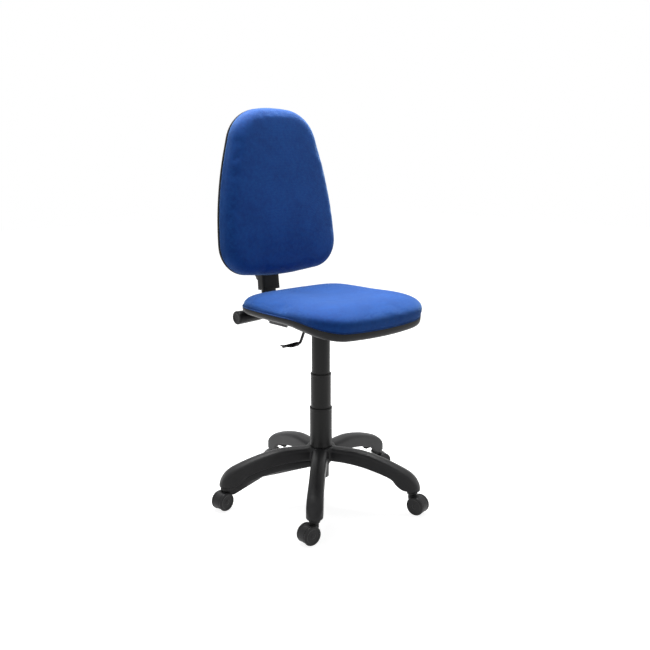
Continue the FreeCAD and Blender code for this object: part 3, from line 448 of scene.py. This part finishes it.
KEPT = {
    PAINT: ["stand_tube", "gas_cylinder", "mechanism_channel", "back_upright", "lever_rod"],
    ZINC: ["bearing_lower_washer", "bearing_upper_washer", "retaining_clip", "taper_socket",
           "seat_bolts", "seat_tee_nuts", "tilt_bolt", "tilt_nut", "tilt_spring", "back_bolts",
           "back_bridge", "bridge_screws", "height_knob_stud", "caster_stems", "caster_grip_rings"]
    + [f"caster_{number}_axle" for number in range(1, 6)],
    GROUND: ["piston_rod", "valve_pin", "bearing_balls"],
    RUBBER: ["lift_buffer"],
    GRIP: ["guide_bush"],
    PLY: ["seat_board", "back_board"],
}
for kept_material, kept_nodes in KEPT.items():
    for kept_node in kept_nodes:
        for material_slot in NODES[kept_node].material_slots:
            material_slot.material = kept_material


# ---- seat -------------------------------------------------------------------------------------------

SEAT_LOW, SEAT_HIGH = corners("seat_cushion")
SEAM_TOP = corners("seat_shell")[1][2]
SEAT_MIDDLE = (SEAT_HIGH[:2] + SEAT_LOW[:2]) / 2
ARM_BOLT_SIDE, ARM_BOLT_ALONG, ARM_BOLT_HOLE = 165 * MM, 40 * MM, 4.25 * MM
PAD_SWELL = 1.0
SHELL_WALL = 2.6 * MM
AROUND = 240


def seam_height(y):
    """The seam's height: level at the back, then falling ever faster to the front."""
    start, run, fall, power = -0.098, 0.167, 0.031, 1.85
    return SEAM_TOP - fall * (np.clip(start - y, 0, None) / run) ** power


def seat_outline(shrink=0.0):
    """The seat's plan of circular arcs, wider in front than behind, drawn in by shrink metres."""
    wide, front, rear = SEAT_HIGH[0], SEAT_LOW[1], SEAT_HIGH[1]
    plan = [(0, front), (wide - 0.088, front + 0.0085), (wide - 0.035, front + 0.035),
            (wide - 0.008, front + 0.087), (wide, front + 0.205), (wide - 0.005, rear - 0.09),
            (wide - 0.032, rear - 0.031), (wide - 0.088, rear - 0.005), (0, rear)]
    return drawn_in(arc_outline(plan, AROUND), shrink)


def seat_ring(shrink, height):
    """One ring of the plan at a height over the seam."""
    outline = seat_outline(shrink)
    return np.column_stack([outline, seam_height(outline[:, 1]) + height])


def seat_cushion_rings(swell):
    """Rings from under the cushion, out round a side that stands proud of the seam, and in over a dome,
    inset = reach (1 - cos^(2/p)) and height = high sin^(2/p) of one turn, to a slightly dished middle."""
    rings = [seat_ring(inset, rise) for inset, rise in ((0.14, 0.001), (0.06, 0.001), (0.02, 0.001),
                                                        (0.0066, -0.0045), (0.0052, -0.0045))]
    high, reach, power = 0.0365 - swell, 0.11, 2.15
    fuller = 0.007 + 0.008 * smoothstep(-0.04, -0.2, seat_outline()[:, 1])
    for turn in np.radians(np.linspace(1, 90, 28)):
        inset = reach * (1 - np.cos(turn) ** (2 / power))
        rise = high * np.sin(turn) ** (2 / power)
        flat = seat_ring(0.004 + inset + swell, rise)
        lean_out = (flat - seat_ring(0.02 + inset + swell, rise)) / 0.016
        proud = fuller * np.exp(-((rise - 0.012) / 0.011) ** 2)
        front = smoothstep(-0.02, -0.2, flat[:, 1])
        lift = 0.75 * (SEAM_TOP - seam_height(flat[:, 1])) * rise / high + 0.006 * front * np.sin(2 * turn)
        rings.append(flat + lean_out * proud[:, None] * [1, 1, 0] + lift[:, None] * [0, 0, 1])
    edge = rings[-1]
    middle = np.array([*SEAT_MIDDLE, 0.0])
    for share in np.linspace(0.93, 0.04, 16):
        ring = middle + (edge - middle) * share
        along = (ring[:, 1] - SEAT_MIDDLE[1]) / 0.2
        dish = 0.006 * np.exp(-(ring[:, 0] / 0.11) ** 2 - ((along - 0.25) / 0.6) ** 2) * (1 - share ** 3)
        ring[:, 2] = 0.25 * seam_height(ring[:, 1]) + 0.75 * SEAM_TOP + high - dish
        rings.append(ring)
    return rings


def inflate(thing, voxel, cap, pressure=4.0, hold=None):
    """Blows a cloth skin up a little, as foam fills its cover. hold(points) gives how much each point may
    move, from 0 to 1, and cap is the furthest in metres."""
    modifier(thing, "REMESH", mode="VOXEL", voxel_size=voxel, use_smooth_shade=True)
    evaluated(thing)
    start = vertices(thing)
    cloth = modifier(thing, "CLOTH")
    cloth.settings.use_pressure = True
    cloth.settings.uniform_pressure_force = pressure
    cloth.settings.effector_weights.gravity = 0
    cloth.settings.tension_stiffness = cloth.settings.compression_stiffness = 25
    cloth.settings.bending_stiffness = 2.0
    cloth.point_cache.frame_end = 20
    for number in range(1, 21):
        bpy.context.scene.frame_set(number)
    evaluated(thing)
    bpy.context.scene.frame_set(1)
    shift = vertices(thing) - start
    far = np.linalg.norm(shift, axis=1)[:, None]
    share = hold(start)[:, None] if hold else 1.0
    set_vertices(thing, start + shift * share * np.minimum(1, cap / np.maximum(far, 1e-9)))
    modifier(thing, "SMOOTH", factor=0.5, iterations=6)
    modifier(thing, "SUBSURF", levels=1, render_levels=1)
    return evaluated(thing)


def seat_cushion():
    """The blue pad, its foam blown up a little above the seam."""
    thing = loft("seat_cushion_cover", seat_cushion_rings(3 * MM * PAD_SWELL))
    inflate(thing, 5 * MM, 5 * MM, hold=lambda p: smoothstep(0.0, 0.02, p[:, 2] - seam_height(p[:, 1])))
    finished(thing, "seat_unit", CLOTH, "seat_cushion", slot="blue_fabric")


def hem(name, outline_ring, body, radius=1.7 * MM):
    """A thin rolled hem along a closed line."""
    ways = np.roll(outline_ring, -1, 0) - np.roll(outline_ring, 1, 0)
    ways /= np.linalg.norm(ways, axis=1)[:, None]
    middle = outline_ring.mean(0)
    out = outline_ring - middle
    out -= ways * (out * ways).sum(1)[:, None]
    out /= np.linalg.norm(out, axis=1)[:, None]
    up = np.cross(ways, out)
    turn = np.linspace(0, TAU, 10, endpoint=False)
    rings = (outline_ring[:, None] + radius * (np.cos(turn)[None, :, None] * out[:, None]
                                               + np.sin(turn)[None, :, None] * up[:, None]))
    thing = loft(name, rings, "joined")
    flip_if_inside_out(thing)
    return finished(thing, body, HEM, slot="blue_fabric")


def seat_pan():
    """The black pan: a thin rim under the seam, a rounded turn below and a flat underside, deeper in front,
    with four holes for arm bolts."""
    wall, deep = SHELL_WALL, 0.0163

    def ring(shrink, depth, lift=0.0):
        """The plan drawn in by shrink, depth below the seam."""
        outline = seat_outline(shrink)
        front = smoothstep(-0.06, -0.16, outline[:, 1])
        height = seam_height(outline[:, 1]) - 0.0014 - depth * (1.12 + 0.42 * front) + lift
        return np.column_stack([outline, height])
    section = rounded_line([(0.0015, 0.0), (0.0020, 0.010), (0.013, deep), (0.05, deep), (0.14, deep)],
                           [0, 0.010, 0.012, 0, 0], 7)
    rings = [ring(shrink + wall, depth, wall * (depth > 0.001)) for shrink, depth in section[::-1]]
    rings += [ring(0.0015 + wall / 2, 0.0, 0.0006)] + [ring(shrink, depth) for shrink, depth in section]
    thing = flip_if_inside_out(loft("seat_pan", rings))
    bolt = lathe_rings(np.array([(ARM_BOLT_HOLE, -0.03), (ARM_BOLT_HOLE, 0.03)]), 32)
    for side in (-ARM_BOLT_SIDE, ARM_BOLT_SIDE):
        for along in (-ARM_BOLT_ALONG, ARM_BOLT_ALONG):
            cutter = loft("arm_bolt_hole", bolt + np.array([side, along, SEAM_TOP - 0.02]))
            modifier(thing, "BOOLEAN", operation="DIFFERENCE", solver="EXACT",
                     object=flip_if_inside_out(cutter))
            evaluated(thing)
            bpy.data.objects.remove(cutter)
    return finished(thing, "seat_unit", SHELL, "seat_shell", slot="shell_plastic")


# ---- back -------------------------------------------------------------------------------------------

PIVOT = np.array(JOINTS["back_tilt"]["pos_m"])
BACK_UP = np.array(JOINTS["back_height"]["axis"])
BACK_OUT = np.array(JOINTS["height_knob_turn"]["axis"])
ACROSS = np.array([1.0, 0.0, 0.0])
BACK_HALF = corners("back_cushion")[1][0]


def in_back(spots):
    """The back's own x, y rearward and z up the upright, from its tilt pivot, made places in the room."""
    return placed(np.asarray(spots, float), PIVOT, ACROSS, BACK_OUT, BACK_UP)


def back_extent(node):
    """A node's own span along the back's y and z, as two (low, high) pairs."""
    spots = vertices(NODES[node]) - PIVOT
    return [(way.min(), way.max()) for way in (spots @ BACK_OUT, spots @ BACK_UP)]


(BACK_FACE, BACK_SEAM), (BACK_FOOT, BACK_TOP) = back_extent("back_cushion")
SHELL_REAR = back_extent("back_shell")[0][1]
BACK_MIDDLE = np.array([0.0, BACK_FOOT + 0.21])


def back_outline(shrink=0.0):
    """The back's outline of circular arcs: a squarish foot and a long egg-shaped top."""
    wide, low, high = BACK_HALF, BACK_FOOT, BACK_TOP - BACK_FOOT
    plan = [(0, low), (wide - 0.090, low + 0.008), (wide - 0.026, low + 0.034), (wide, low + 0.092),
            (wide - 0.014, low + high * 0.5), (wide - 0.052, low + high * 0.8),
            (wide - 0.088, low + high * 0.93), (wide - 0.148, low + high - 0.005), (0, low + high)]
    return drawn_in(arc_outline(plan, AROUND), shrink)


def back_ring(shrink, depth):
    """One ring of the outline at a depth along the back's y."""
    outline = back_outline(shrink)
    return in_back(np.column_stack([outline[:, 0], np.full(len(outline), depth), outline[:, 1]]))


def back_cushion_rings(swell):
    """Rings from behind the pad, round a side that stands proud of the shell, and in over a crowned face
    with a lumbar swelling."""
    rings = [back_ring(inset, BACK_SEAM - 0.001) for inset in (0.09, 0.04, 0.012)]
    rings.append(back_ring(0.0066, BACK_SEAM + 0.002))
    reach, side, face = 0.036, BACK_SEAM - 0.015, BACK_FACE + 0.006 + swell
    for turn in np.radians(np.linspace(-80, 87, 24)):
        out = reach * (1 - np.cos(turn) ** 0.85)
        rise = (side - face if turn > 0 else BACK_SEAM - side) * np.sin(turn)
        rings.append(back_ring(out * (1.0 if turn > 0 else 0.11) + swell - 0.003, side - rise))
    edge = back_outline(reach + swell)
    for share in np.linspace(0.95, 0.04, 20):
        flat = BACK_MIDDLE + (edge - BACK_MIDDLE) * share
        lumbar = 0.003 * np.exp(-((flat[:, 1] - BACK_FOOT - 0.15) / 0.1) ** 2)
        crown = (0.003 + lumbar) * (1 - share ** 3)
        rings.append(in_back(np.column_stack([flat[:, 0], face - crown, flat[:, 1]])))
    return rings


def back_depth(points):
    """How far rearward points lie, along the back's own y."""
    return (points - PIVOT) @ BACK_OUT


def back_cushion():
    """The back's pad, its foam blown up a little in front of the seam."""
    thing = loft("back_cushion_cover", back_cushion_rings(1 * MM * PAD_SWELL))
    flip_if_inside_out(thing)
    inflate(thing, 5 * MM, 5 * MM,
            hold=lambda p: smoothstep(BACK_SEAM - 0.001, BACK_SEAM - 0.015, back_depth(p)))
    finished(thing, "back", CLOTH, "back_cushion", slot="blue_fabric")


def back_shell():
    """The rear shell: a thin rim round the pad, then a dished rear with a soft shoulder."""
    wall = SHELL_WALL
    rim, rear = BACK_SEAM + 0.0004, SHELL_REAR - 0.0005
    section = rounded_line([(0.0006, rim), (0.0016, rim + 0.009), (0.040, rear - 0.006), (0.075, rear)],
                           [0, 0.008, 0.03, 0], 8)
    outer = [back_ring(shrink, depth) for shrink, depth in section]
    inner = [back_ring(shrink + wall, depth - wall * (depth > rim)) for shrink, depth in section[::-1]]
    rings = inner + [back_ring(0.001 + wall / 2, rim - 0.0006)] + outer
    flat = back_outline(section[-1][0])
    for share in (0.8, 0.6, 0.4, 0.2, 0.05):
        spots = BACK_MIDDLE + (flat - BACK_MIDDLE) * share
        rings.append(in_back(np.column_stack([spots[:, 0], np.full(AROUND, rear), spots[:, 1]])))
    spots = BACK_MIDDLE + (flat - BACK_MIDDLE) * 0.05
    rings = [in_back(np.column_stack([spots[:, 0], np.full(AROUND, rear - wall), spots[:, 1]]))] + rings
    thing = loft("back_shell_cover", rings)
    flip_if_inside_out(thing)
    return finished(thing, "back", SHELL, "back_shell", slot="shell_plastic")


def cup(half_x, half_y, low, top, wall, power, flare, upside):
    """A box-like cup of superellipse section, open at low and closed with a soft crown at top. Its
    x and y are from its own middle, and upside -1 turns it over."""
    soft = 4 * MM
    inner_top = top - wall
    rings = []

    def ring(shrink, height, spread=0.0):
        """The section drawn in by shrink and flared by spread at a height."""
        outline = evenly(superellipse(400, half_x - shrink + spread, half_y - shrink + spread * 0.5,
                                      power), 96)
        return np.column_stack([outline, np.full(len(outline), height * upside)])
    rings += [ring(wall, inner_top), ring(wall, low + 0.001), ring(wall * 0.6, low)]
    rings += [ring(0.0008, low, flare), ring(0.0, low + 0.0015, flare), ring(0.0, low + 0.010, flare * 0.8),
              ring(0.0, low + (top - low) * 0.35, flare * 0.2), ring(0.0, top - soft)]
    for turn in np.radians((20, 40, 60, 80)):
        rings.append(ring(soft * (1 - np.cos(turn)), top - soft + soft * np.sin(turn)))
    rings.append(ring(soft + 0.002, top))
    return loft_data(rings)


def bracket():
    """The moulded sleeve that rides on the upright and the smaller cover on the upright's bend."""
    for node, name, body, upside, flare in (
            ("back_sleeve", "back_sleeve_cover", "back", 1, 1.5 * MM),
            ("upright_cover", "upright_cover_skin", "upright", -1, 0.0)):
        (front, rear), (low, top) = back_extent(node)
        half_x = corners(node)[1][0]
        ends = (low, top) if upside == 1 else (-top, -low)
        points, faces = cup(half_x - flare, (rear - front) / 2, *ends, 3 * MM, 8.0, flare, upside)
        points[:, 1] += (front + rear) / 2
        thing = mesh_object(name, in_back(points), faces)
        flip_if_inside_out(thing)
        finished(thing, body, SHELL, node, slot="shell_plastic")


# ---- base, column and casters -----------------------------------------------------------------------

BASE_LOW, BASE_HIGH = corners("star_base")
CASTERS = [f"caster_{number}" for number in range(1, 6)]
STEMS = [np.array(JOINTS[f"{caster}_swivel"]["pos_m"]) for caster in CASTERS]
REACH = float(np.hypot(*STEMS[0][:2]))
HUB_TOP = BASE_HIGH[2]
SOCKET_LOW = BASE_LOW[2]
COLUMN_RADIUS = corners("cover_lower")[1][0]
TUBE_RADIUS = corners("stand_tube")[1][0]
COVER_RADIUS = {"cover_lower": 0.033, "cover_middle": 0.030, "cover_upper": 0.027}


def leg_top(r):
    """The leg's crest: level at the hub, then an arch that falls ever faster to the tip."""
    arch = 0.1279 * r - 1.0945 * r ** 2
    tip = np.clip(r - (REACH - 0.02), 0, None)
    return HUB_TOP - 0.001 + (arch - np.sqrt(arch ** 2 + 4e-6)) / 2 - 9.0 * tip ** 2


def leg_foot(r):
    """The lower edge of the leg's sides: a flatter arch that drops to the socket's foot."""
    arch = HUB_TOP - 0.038 + 0.0805 * r - 0.959 * r ** 2
    drop = smoothstep(REACH - 0.052, REACH - 0.014, r)
    return arch * (1 - drop) + SOCKET_LOW * drop


def leg_half(r):
    """Half the leg's width: full at the hub and at the socket, a little slimmer between."""
    return 0.0232 - 0.0012 * smoothstep(0.03, 0.2, r) + 0.0016 * smoothstep(0.2, REACH, r)


def leg_data(cosine, sine, inner):
    """One leg as rings drawn from its outline to its spine. The outline runs out along one side, round
    the socket and back. A section is an arch that drops by d (1 - sqrt(1 - s^3)) at a share s of its half
    width, with a soft ridge; inner makes the smaller skin of its hollow underside."""
    wall = 3.6 * MM if inner else 0.0
    run = np.linspace(0.012, REACH, 46)
    bow = np.radians(np.linspace(-90, 90, 25))[1:-1]
    tip = leg_half(REACH) - wall
    edge = np.vstack([np.column_stack([run, -(leg_half(run) - wall)]),
                      np.column_stack([REACH + tip * np.cos(bow), tip * np.sin(bow)]),
                      np.column_stack([run, leg_half(run) - wall])[::-1]])
    spine = np.column_stack([np.minimum(edge[:, 0], REACH), np.zeros(len(edge))])
    foot = leg_foot(edge[:, 0])
    deep = 0.013

    def ring(share, drop=None, height=None):
        """A ring at a share of the half width, below the crest by drop or at a height."""
        spots = spine + (edge - spine) * share
        return np.column_stack([spots, leg_top(spots[:, 0]) - drop if height is None else height])
    if inner:
        rings = [ring(1.0, height=foot - 0.02)]
        rings += [ring(share, wall + 0.012 * share ** 4) for share in (1.0, 0.9, 0.6, 0.3, 0.02)]
    else:
        shoulder = leg_top(edge[:, 0]) - deep
        rings = [ring(0.985, height=foot), ring(1.0, height=foot + 0.001),
                 ring(0.99, height=foot + (shoulder - foot) * 0.5)]
        for share in np.cos(np.radians(np.linspace(0, 88, 16))):
            ridge = 0.0016 * np.exp(-(share / 0.3) ** 2)
            rings.append(ring(share * 0.985, deep * (1 - np.sqrt(1 - share ** 3)) - ridge))
    rings = np.array(rings)
    x, y, z = rings[..., 0], rings[..., 1], rings[..., 2]
    return np.stack([x * cosine - y * sine, x * sine + y * cosine, z], -1)


def star_base():
    """Five arched legs melted into one hub, hollow below and bored for the column."""
    parts, hollows = [], []
    for stem in STEMS:
        cosine, sine = stem[0] / REACH, stem[1] / REACH
        parts.append(loft_data(leg_data(cosine, sine, False)))
        hollows.append(loft_data(leg_data(cosine, sine, True)))
    hub = rounded_line([(0, 0.112), (0.037, 0.112), (0.046, 0.135), (0.043, HUB_TOP - 0.004),
                        (COLUMN_RADIUS + 0.0075, HUB_TOP + 0.0), (COLUMN_RADIUS + 0.0015, HUB_TOP),
                        (0, HUB_TOP)], [0, 0.004, 0.01, 0.006, 0.002, 0, 0], 6)
    parts.append(loft_data(lathe_rings(hub[1:-1], 96)))
    thing = fused("star_base_moulding", parts, 2.2 * MM, 5)
    bore = np.array([(TUBE_RADIUS + 0.0002, 0.05), (TUBE_RADIUS + 0.0002, 0.20)])
    hollows.append(loft_data(lathe_rings(bore, 96)))
    cutters = [flip_if_inside_out(mesh_object("leg_hollow", *hollow)) for hollow in hollows]
    for cutter in cutters:
        modifier(thing, "BOOLEAN", operation="DIFFERENCE", solver="FAST", object=cutter)
    evaluated(thing)
    for cutter in cutters:
        bpy.data.objects.remove(cutter)
    finished(thing, "base", NYLON, "star_base", slot="base_plastic")


def column_cover(node, name, body, foot_flare=0.0):
    """One telescopic tube with a soft bead at its top edge and a rounded foot."""
    low, high = corners(node)
    radius = COVER_RADIUS[node]
    inner = radius - COVER_WALL
    bead = 0.7 * MM
    top, foot = high[2], low[2]
    line = [(inner - 0.0015, top - 0.002), (inner - 0.0015, top), (radius + bead, top),
            (radius + bead, top - 0.005), (radius, top - 0.0065), (radius, foot + 0.008),
            (radius + foot_flare, foot), (inner, foot), (inner, top - 0.002)]
    line = rounded_line(line + line[:1], [0, 0.0004, 0.001, 0.0006, 0.0006, 0.004, 0.0004, 0.0003, 0, 0], 4)
    thing = loft(name, lathe_rings(line[:-1], 96)[::-1], "joined")
    flip_if_inside_out(thing)
    finished(thing, body, TUBES, node, slot="cover_plastic")


WHEEL_RADIUS = corners("caster_1_wheel_left")[1][2] / 2
WHEEL_OUT = 20.5 * MM
TRAIL = 20 * MM
COVER_WALL = 1.3 * MM


def wheel(side):
    """One wheel about Y: a crowned tread, a dished outer face with a cap, and a drum and a hub ring inside.
    """
    radius, out = WHEEL_RADIUS, WHEEL_OUT
    line = [(0.0, out), (0.006, out), (0.0075, out - 0.0012), (0.0185, out - 0.0012), (0.0205, out - 0.0002),
            (radius - 0.002, out - 0.0002), (radius - 0.0002, out - 0.0035), (radius, out - 0.005),
            (radius - 0.0003, 0.0142), (radius - 0.0015, 0.0132), (0.0234, 0.0132), (0.0234, 0.0078),
            (0.0196, 0.0078), (0.0196, out - 0.003), (0.0075, out - 0.003), (0.0075, 0.0078),
            (0.00356, 0.0078), (0.00356, out - 0.003), (0.0, out - 0.003)]
    soft = [0, 0.0008, 0.0006, 0.0006, 0.0008, 0.0018, 0.002, 0, 0.0008, 0.0006, 0.0004, 0.0006, 0.0006,
            0.001, 0.001, 0.0004, 0.0003, 0, 0]
    rings = lathe_rings(rounded_line(line, soft, 3)[1:-1], 72)
    turned = np.stack([rings[..., 0], rings[..., 2] * side, rings[..., 1]], -1)
    return flip_if_inside_out(loft("wheel_pattern", turned))


def hood():
    """The caster's body about its axle: a rounded barrel, cut open low at the front, and a stem boss."""
    outer, inner, half = 0.027, 0.0241, 0.0127
    section = rounded_line([(inner, -half), (outer, -half), (outer, half), (inner, half), (inner, -half)],
                           [0, 0.0012, 0.0012, 0, 0], 4)[:-1]
    arc = np.radians(np.linspace(-38, 212, 60))
    barrel = np.stack([np.stack([TRAIL + section[:, 0] * np.cos(a), section[:, 1],
                                 WHEEL_RADIUS + section[:, 0] * np.sin(a)], -1) for a in arc])
    web_line = rounded_line([(0, -0.007), (0.0262, -0.007), (0.0262, 0.007), (0, 0.007)],
                            [0, 0.001, 0.001, 0], 3)
    web = lathe_rings(web_line[1:-1], 64)
    web = np.stack([web[..., 0] + TRAIL, web[..., 2], web[..., 1] + WHEEL_RADIUS], -1)
    web[..., 2] = np.maximum(web[..., 2], 0.010)
    top = SOCKET_LOW - 0.0021
    boss_line = rounded_line([(0, 0.040), (0.0119, 0.040), (0.0122, 0.0568), (0.0156, 0.0572),
                              (0.0160, top - 0.002), (0.0160, top), (0, top)],
                             [0, 0.002, 0.001, 0.001, 0, 0.0012, 0], 4)
    boss = lathe_rings(boss_line[1:-1], 48)
    return fused("hood_pattern", [loft_data(barrel), loft_data(web), loft_data(boss)], 0.75 * MM, 3)


def casters():
    """Five hoods and ten wheels, each turned to its own way of trailing."""
    hood_pattern = hood()
    wheels = {side: wheel(sign) for side, sign in (("right", -1), ("left", 1))}
    for caster, stem in zip(CASTERS, STEMS):
        axle = np.array(JOINTS[f"{caster}_roll_left"]["pos_m"]) - stem
        angle = math.atan2(axle[1], axle[0])
        spot = np.array([stem[0], stem[1], 0.0])
        hood_copy = copied(f"{caster}_hood_moulding", hood_pattern, spot, angle)
        finished(hood_copy, caster, NYLON, f"{caster}_hood", slot="hood_plastic")
        for side, pattern in wheels.items():
            centre = spot + [axle[0], axle[1], WHEEL_RADIUS]
            wheel_copy = copied(f"{caster}_wheel_{side}_tyre", pattern, centre, angle)
            finished(wheel_copy, f"{caster}_wheel_{side}", TREAD, f"{caster}_wheel_{side}",
                     slot="wheel_nylon")
    for pattern in (hood_pattern, *wheels.values()):
        bpy.data.objects.remove(pattern)


# ---- lever and knobs --------------------------------------------------------------------------------

def lever():
    """A thin tapering paddle on the end of the lever's bent wire."""
    pad_low, pad_high = corners("lever_paddle")
    side = (pad_low[1] + pad_high[1]) / 2
    drop = corners("lever_rod")[0][2] + 4 * MM
    share = np.linspace(0, 1, 40)
    inner, outer = pad_high[0], pad_low[0]
    x = inner + (outer - inner) * share
    half = (pad_high[1] - pad_low[1]) / 2
    width = 0.0062 + (half - 0.0062) * smoothstep(0.0, 0.45, share)
    width = width * np.sqrt(np.clip(1 - smoothstep(0.55, 1.0, share) ** 2.2, 0.004, 1))
    thick = 0.0058 - 0.0042 * smoothstep(0.0, 0.85, share)
    bend = drop + 0.0015 * np.sin(share * np.pi) * -1 + 0.004 * smoothstep(0.5, 1.0, share)
    rings = []
    for spot, wide, high, height in zip(x, width, thick, bend):
        section = evenly(superellipse(160, wide, high, 2.6), 40)
        rings.append(np.column_stack([np.full(40, spot), side + section[:, 0], height + section[:, 1]]))
    paddle = loft("lever_blade", rings)
    flip_if_inside_out(paddle)
    finished(paddle, "lever", GRIP, "lever_paddle", slot="knob_plastic")


def fluted(count, depth, low, high):
    """A wave that presses shallow flutes into a grip between two heights."""
    def wave(angle, height):
        """Narrower where a flute runs, within the band of heights."""
        band = smoothstep(low, low + 0.004, height) * smoothstep(high, high - 0.004, height)
        return 1 - depth * band * np.abs(np.cos(angle * count / 2)) ** 3
    return wave


def turned_piece(name, line, radii, origin, axis, wave=None, segments=96):
    """A lathe piece with its axis along any direction."""
    axis = np.asarray(axis, float)
    side = np.cross(axis, [0.0, 0.0, 1.0] if abs(axis[2]) < 0.9 else [1.0, 0.0, 0.0])
    side /= np.linalg.norm(side)
    rings = lathe_rings(rounded_line(line, radii, 5)[1:-1], segments, wave)
    thing = loft(name, placed(rings, np.asarray(origin), side, np.cross(axis, side), axis))
    return flip_if_inside_out(thing)


def knobs():
    """The long tilt knob at the sitter's right and the lobed height knob behind the back."""
    low, high = corners("tilt_lock_knob")
    long, radius = high[0] - low[0], (high[2] - low[2]) / 2
    origin = [low[0], PIVOT[1], PIVOT[2]]
    line = [(0, 0.0015), (radius * 0.55, 0.0015), (radius * 0.62, 0.0), (radius * 0.98, 0.0),
            (radius, 0.006), (radius * 0.97, 0.026), (radius * 0.86, 0.078), (0.013, long - 0.014),
            (0.012, long), (0, long)]
    knob = turned_piece("tilt_knob_grip", line, [0, 0.002, 0.002, 0.003, 0.01, 0.02, 0.02, 0.01, 0.001, 0],
                        origin, (1, 0, 0), fluted(14, 0.035, 0.008, 0.07))
    finished(knob, "tilt_knob", GRIP, "tilt_lock_knob", slot="knob_plastic")
    (front, rear), (foot, top) = back_extent("height_knob")
    radius, deep = (top - foot) / 2, rear - front
    origin = in_back([[0, front, (foot + top) / 2]])[0]
    line = [(0, 0), (radius * 0.5, 0), (radius * 0.55, 0.008), (radius * 0.97, 0.010), (radius, deep - 0.005),
            (radius * 0.8, deep), (radius * 0.35, deep - 0.001), (0, deep - 0.001)]
    knob = turned_piece("height_knob_grip", line, [0, 0.001, 0.002, 0.003, 0.005, 0.006, 0.002, 0], origin,
                        BACK_OUT, fluted(7, 0.10, 0.009, deep + 0.01))
    finished(knob, "height_knob", GRIP, "height_knob", slot="knob_plastic")


# ---- room -------------------------------------------------------------------------------------------

def stage():
    """A white sweep with soft shadows, seen as white where nothing shades it."""
    floor = mesh_object("floor", [(-9, -9, 0), (9, -9, 0), (9, 9, 0), (-9, 9, 0)], [(0, 1, 2, 3)], False)
    white = Finish("white_floor", Roughness=0.6, Specular_IOR_Level=0.1, Base_Color=colour(0.4, 0.4, 0.4),
                   Emission_Strength=0.88)
    white.done(Emission_Color=white.blend(white.seen_plainly(), colour(0, 0, 0), colour(1, 1, 1)))
    floor.data.materials.append(white.material)
    world = bpy.data.worlds.new("studio")
    world.use_nodes = True
    bpy.context.scene.world = world
    sky = Tree(world.node_tree)
    sky.set(world.node_tree.nodes["Background"], {"Color": colour(1, 1, 1),
                                                  "Strength": sky.seen_plainly() * 0.75 + 0.25})


def area_light(name, place, target, size, power):
    """A soft rectangular lamp."""
    light = bpy.data.lights.new(name, "AREA")
    light.shape, light.size, light.size_y, light.energy = "RECTANGLE", size[0], size[1], power
    thing = bpy.data.objects.new(name, light)
    bpy.context.scene.collection.objects.link(thing)
    aim(thing, place, target)


def aim(thing, place, target):
    """Puts a light or camera at a place, looking at a target."""
    thing.location = place
    thing.rotation_euler = (Vector(target) - Vector(place)).to_track_quat("-Z", "Y").to_euler()


def camera():
    """The camera, by its place, heading and pitch."""
    lens = bpy.data.cameras.new("camera")
    lens.lens, lens.sensor_width = 43.82, 36.0
    thing = bpy.data.objects.new("camera", lens)
    bpy.context.scene.collection.objects.link(thing)
    place = (-1.4897, -1.6838, 1.0272)
    heading, pitch = math.radians(41.81), math.radians(-12.334)
    way = (math.cos(pitch) * math.sin(heading), math.cos(pitch) * math.cos(heading), math.sin(pitch))
    aim(thing, place, tuple(p + w for p, w in zip(place, way)))
    bpy.context.scene.camera = thing


seat_cushion()
hem("seat_hem", seat_ring(0.0030, 0.0010), "seat_unit")
seat_pan()
back_cushion()
hem("back_hem", back_ring(0.003, BACK_SEAM - 0.003), "back")
back_shell()
bracket()
star_base()
column_cover("cover_lower", "cover_lower_tube", "base", 0.0012)
column_cover("cover_middle", "cover_middle_tube", "cover_middle")
column_cover("cover_upper", "cover_upper_tube", "seat_unit")
casters()
lever()
knobs()
stage()
area_light("overhead", (0.4, 0.6, 2.85), (0, 0, 0.5), (1.8, 1.6), 200)
area_light("camera_side", (-2.6, -1.2, 1.9), (0, 0, 0.7), (1.8, 2.2), 11)
area_light("far_side", (2.2, -1.6, 1.7), (0, 0, 0.7), (1.6, 2.0), 8)
camera()
bpy.context.scene.view_settings.view_transform = "Standard"
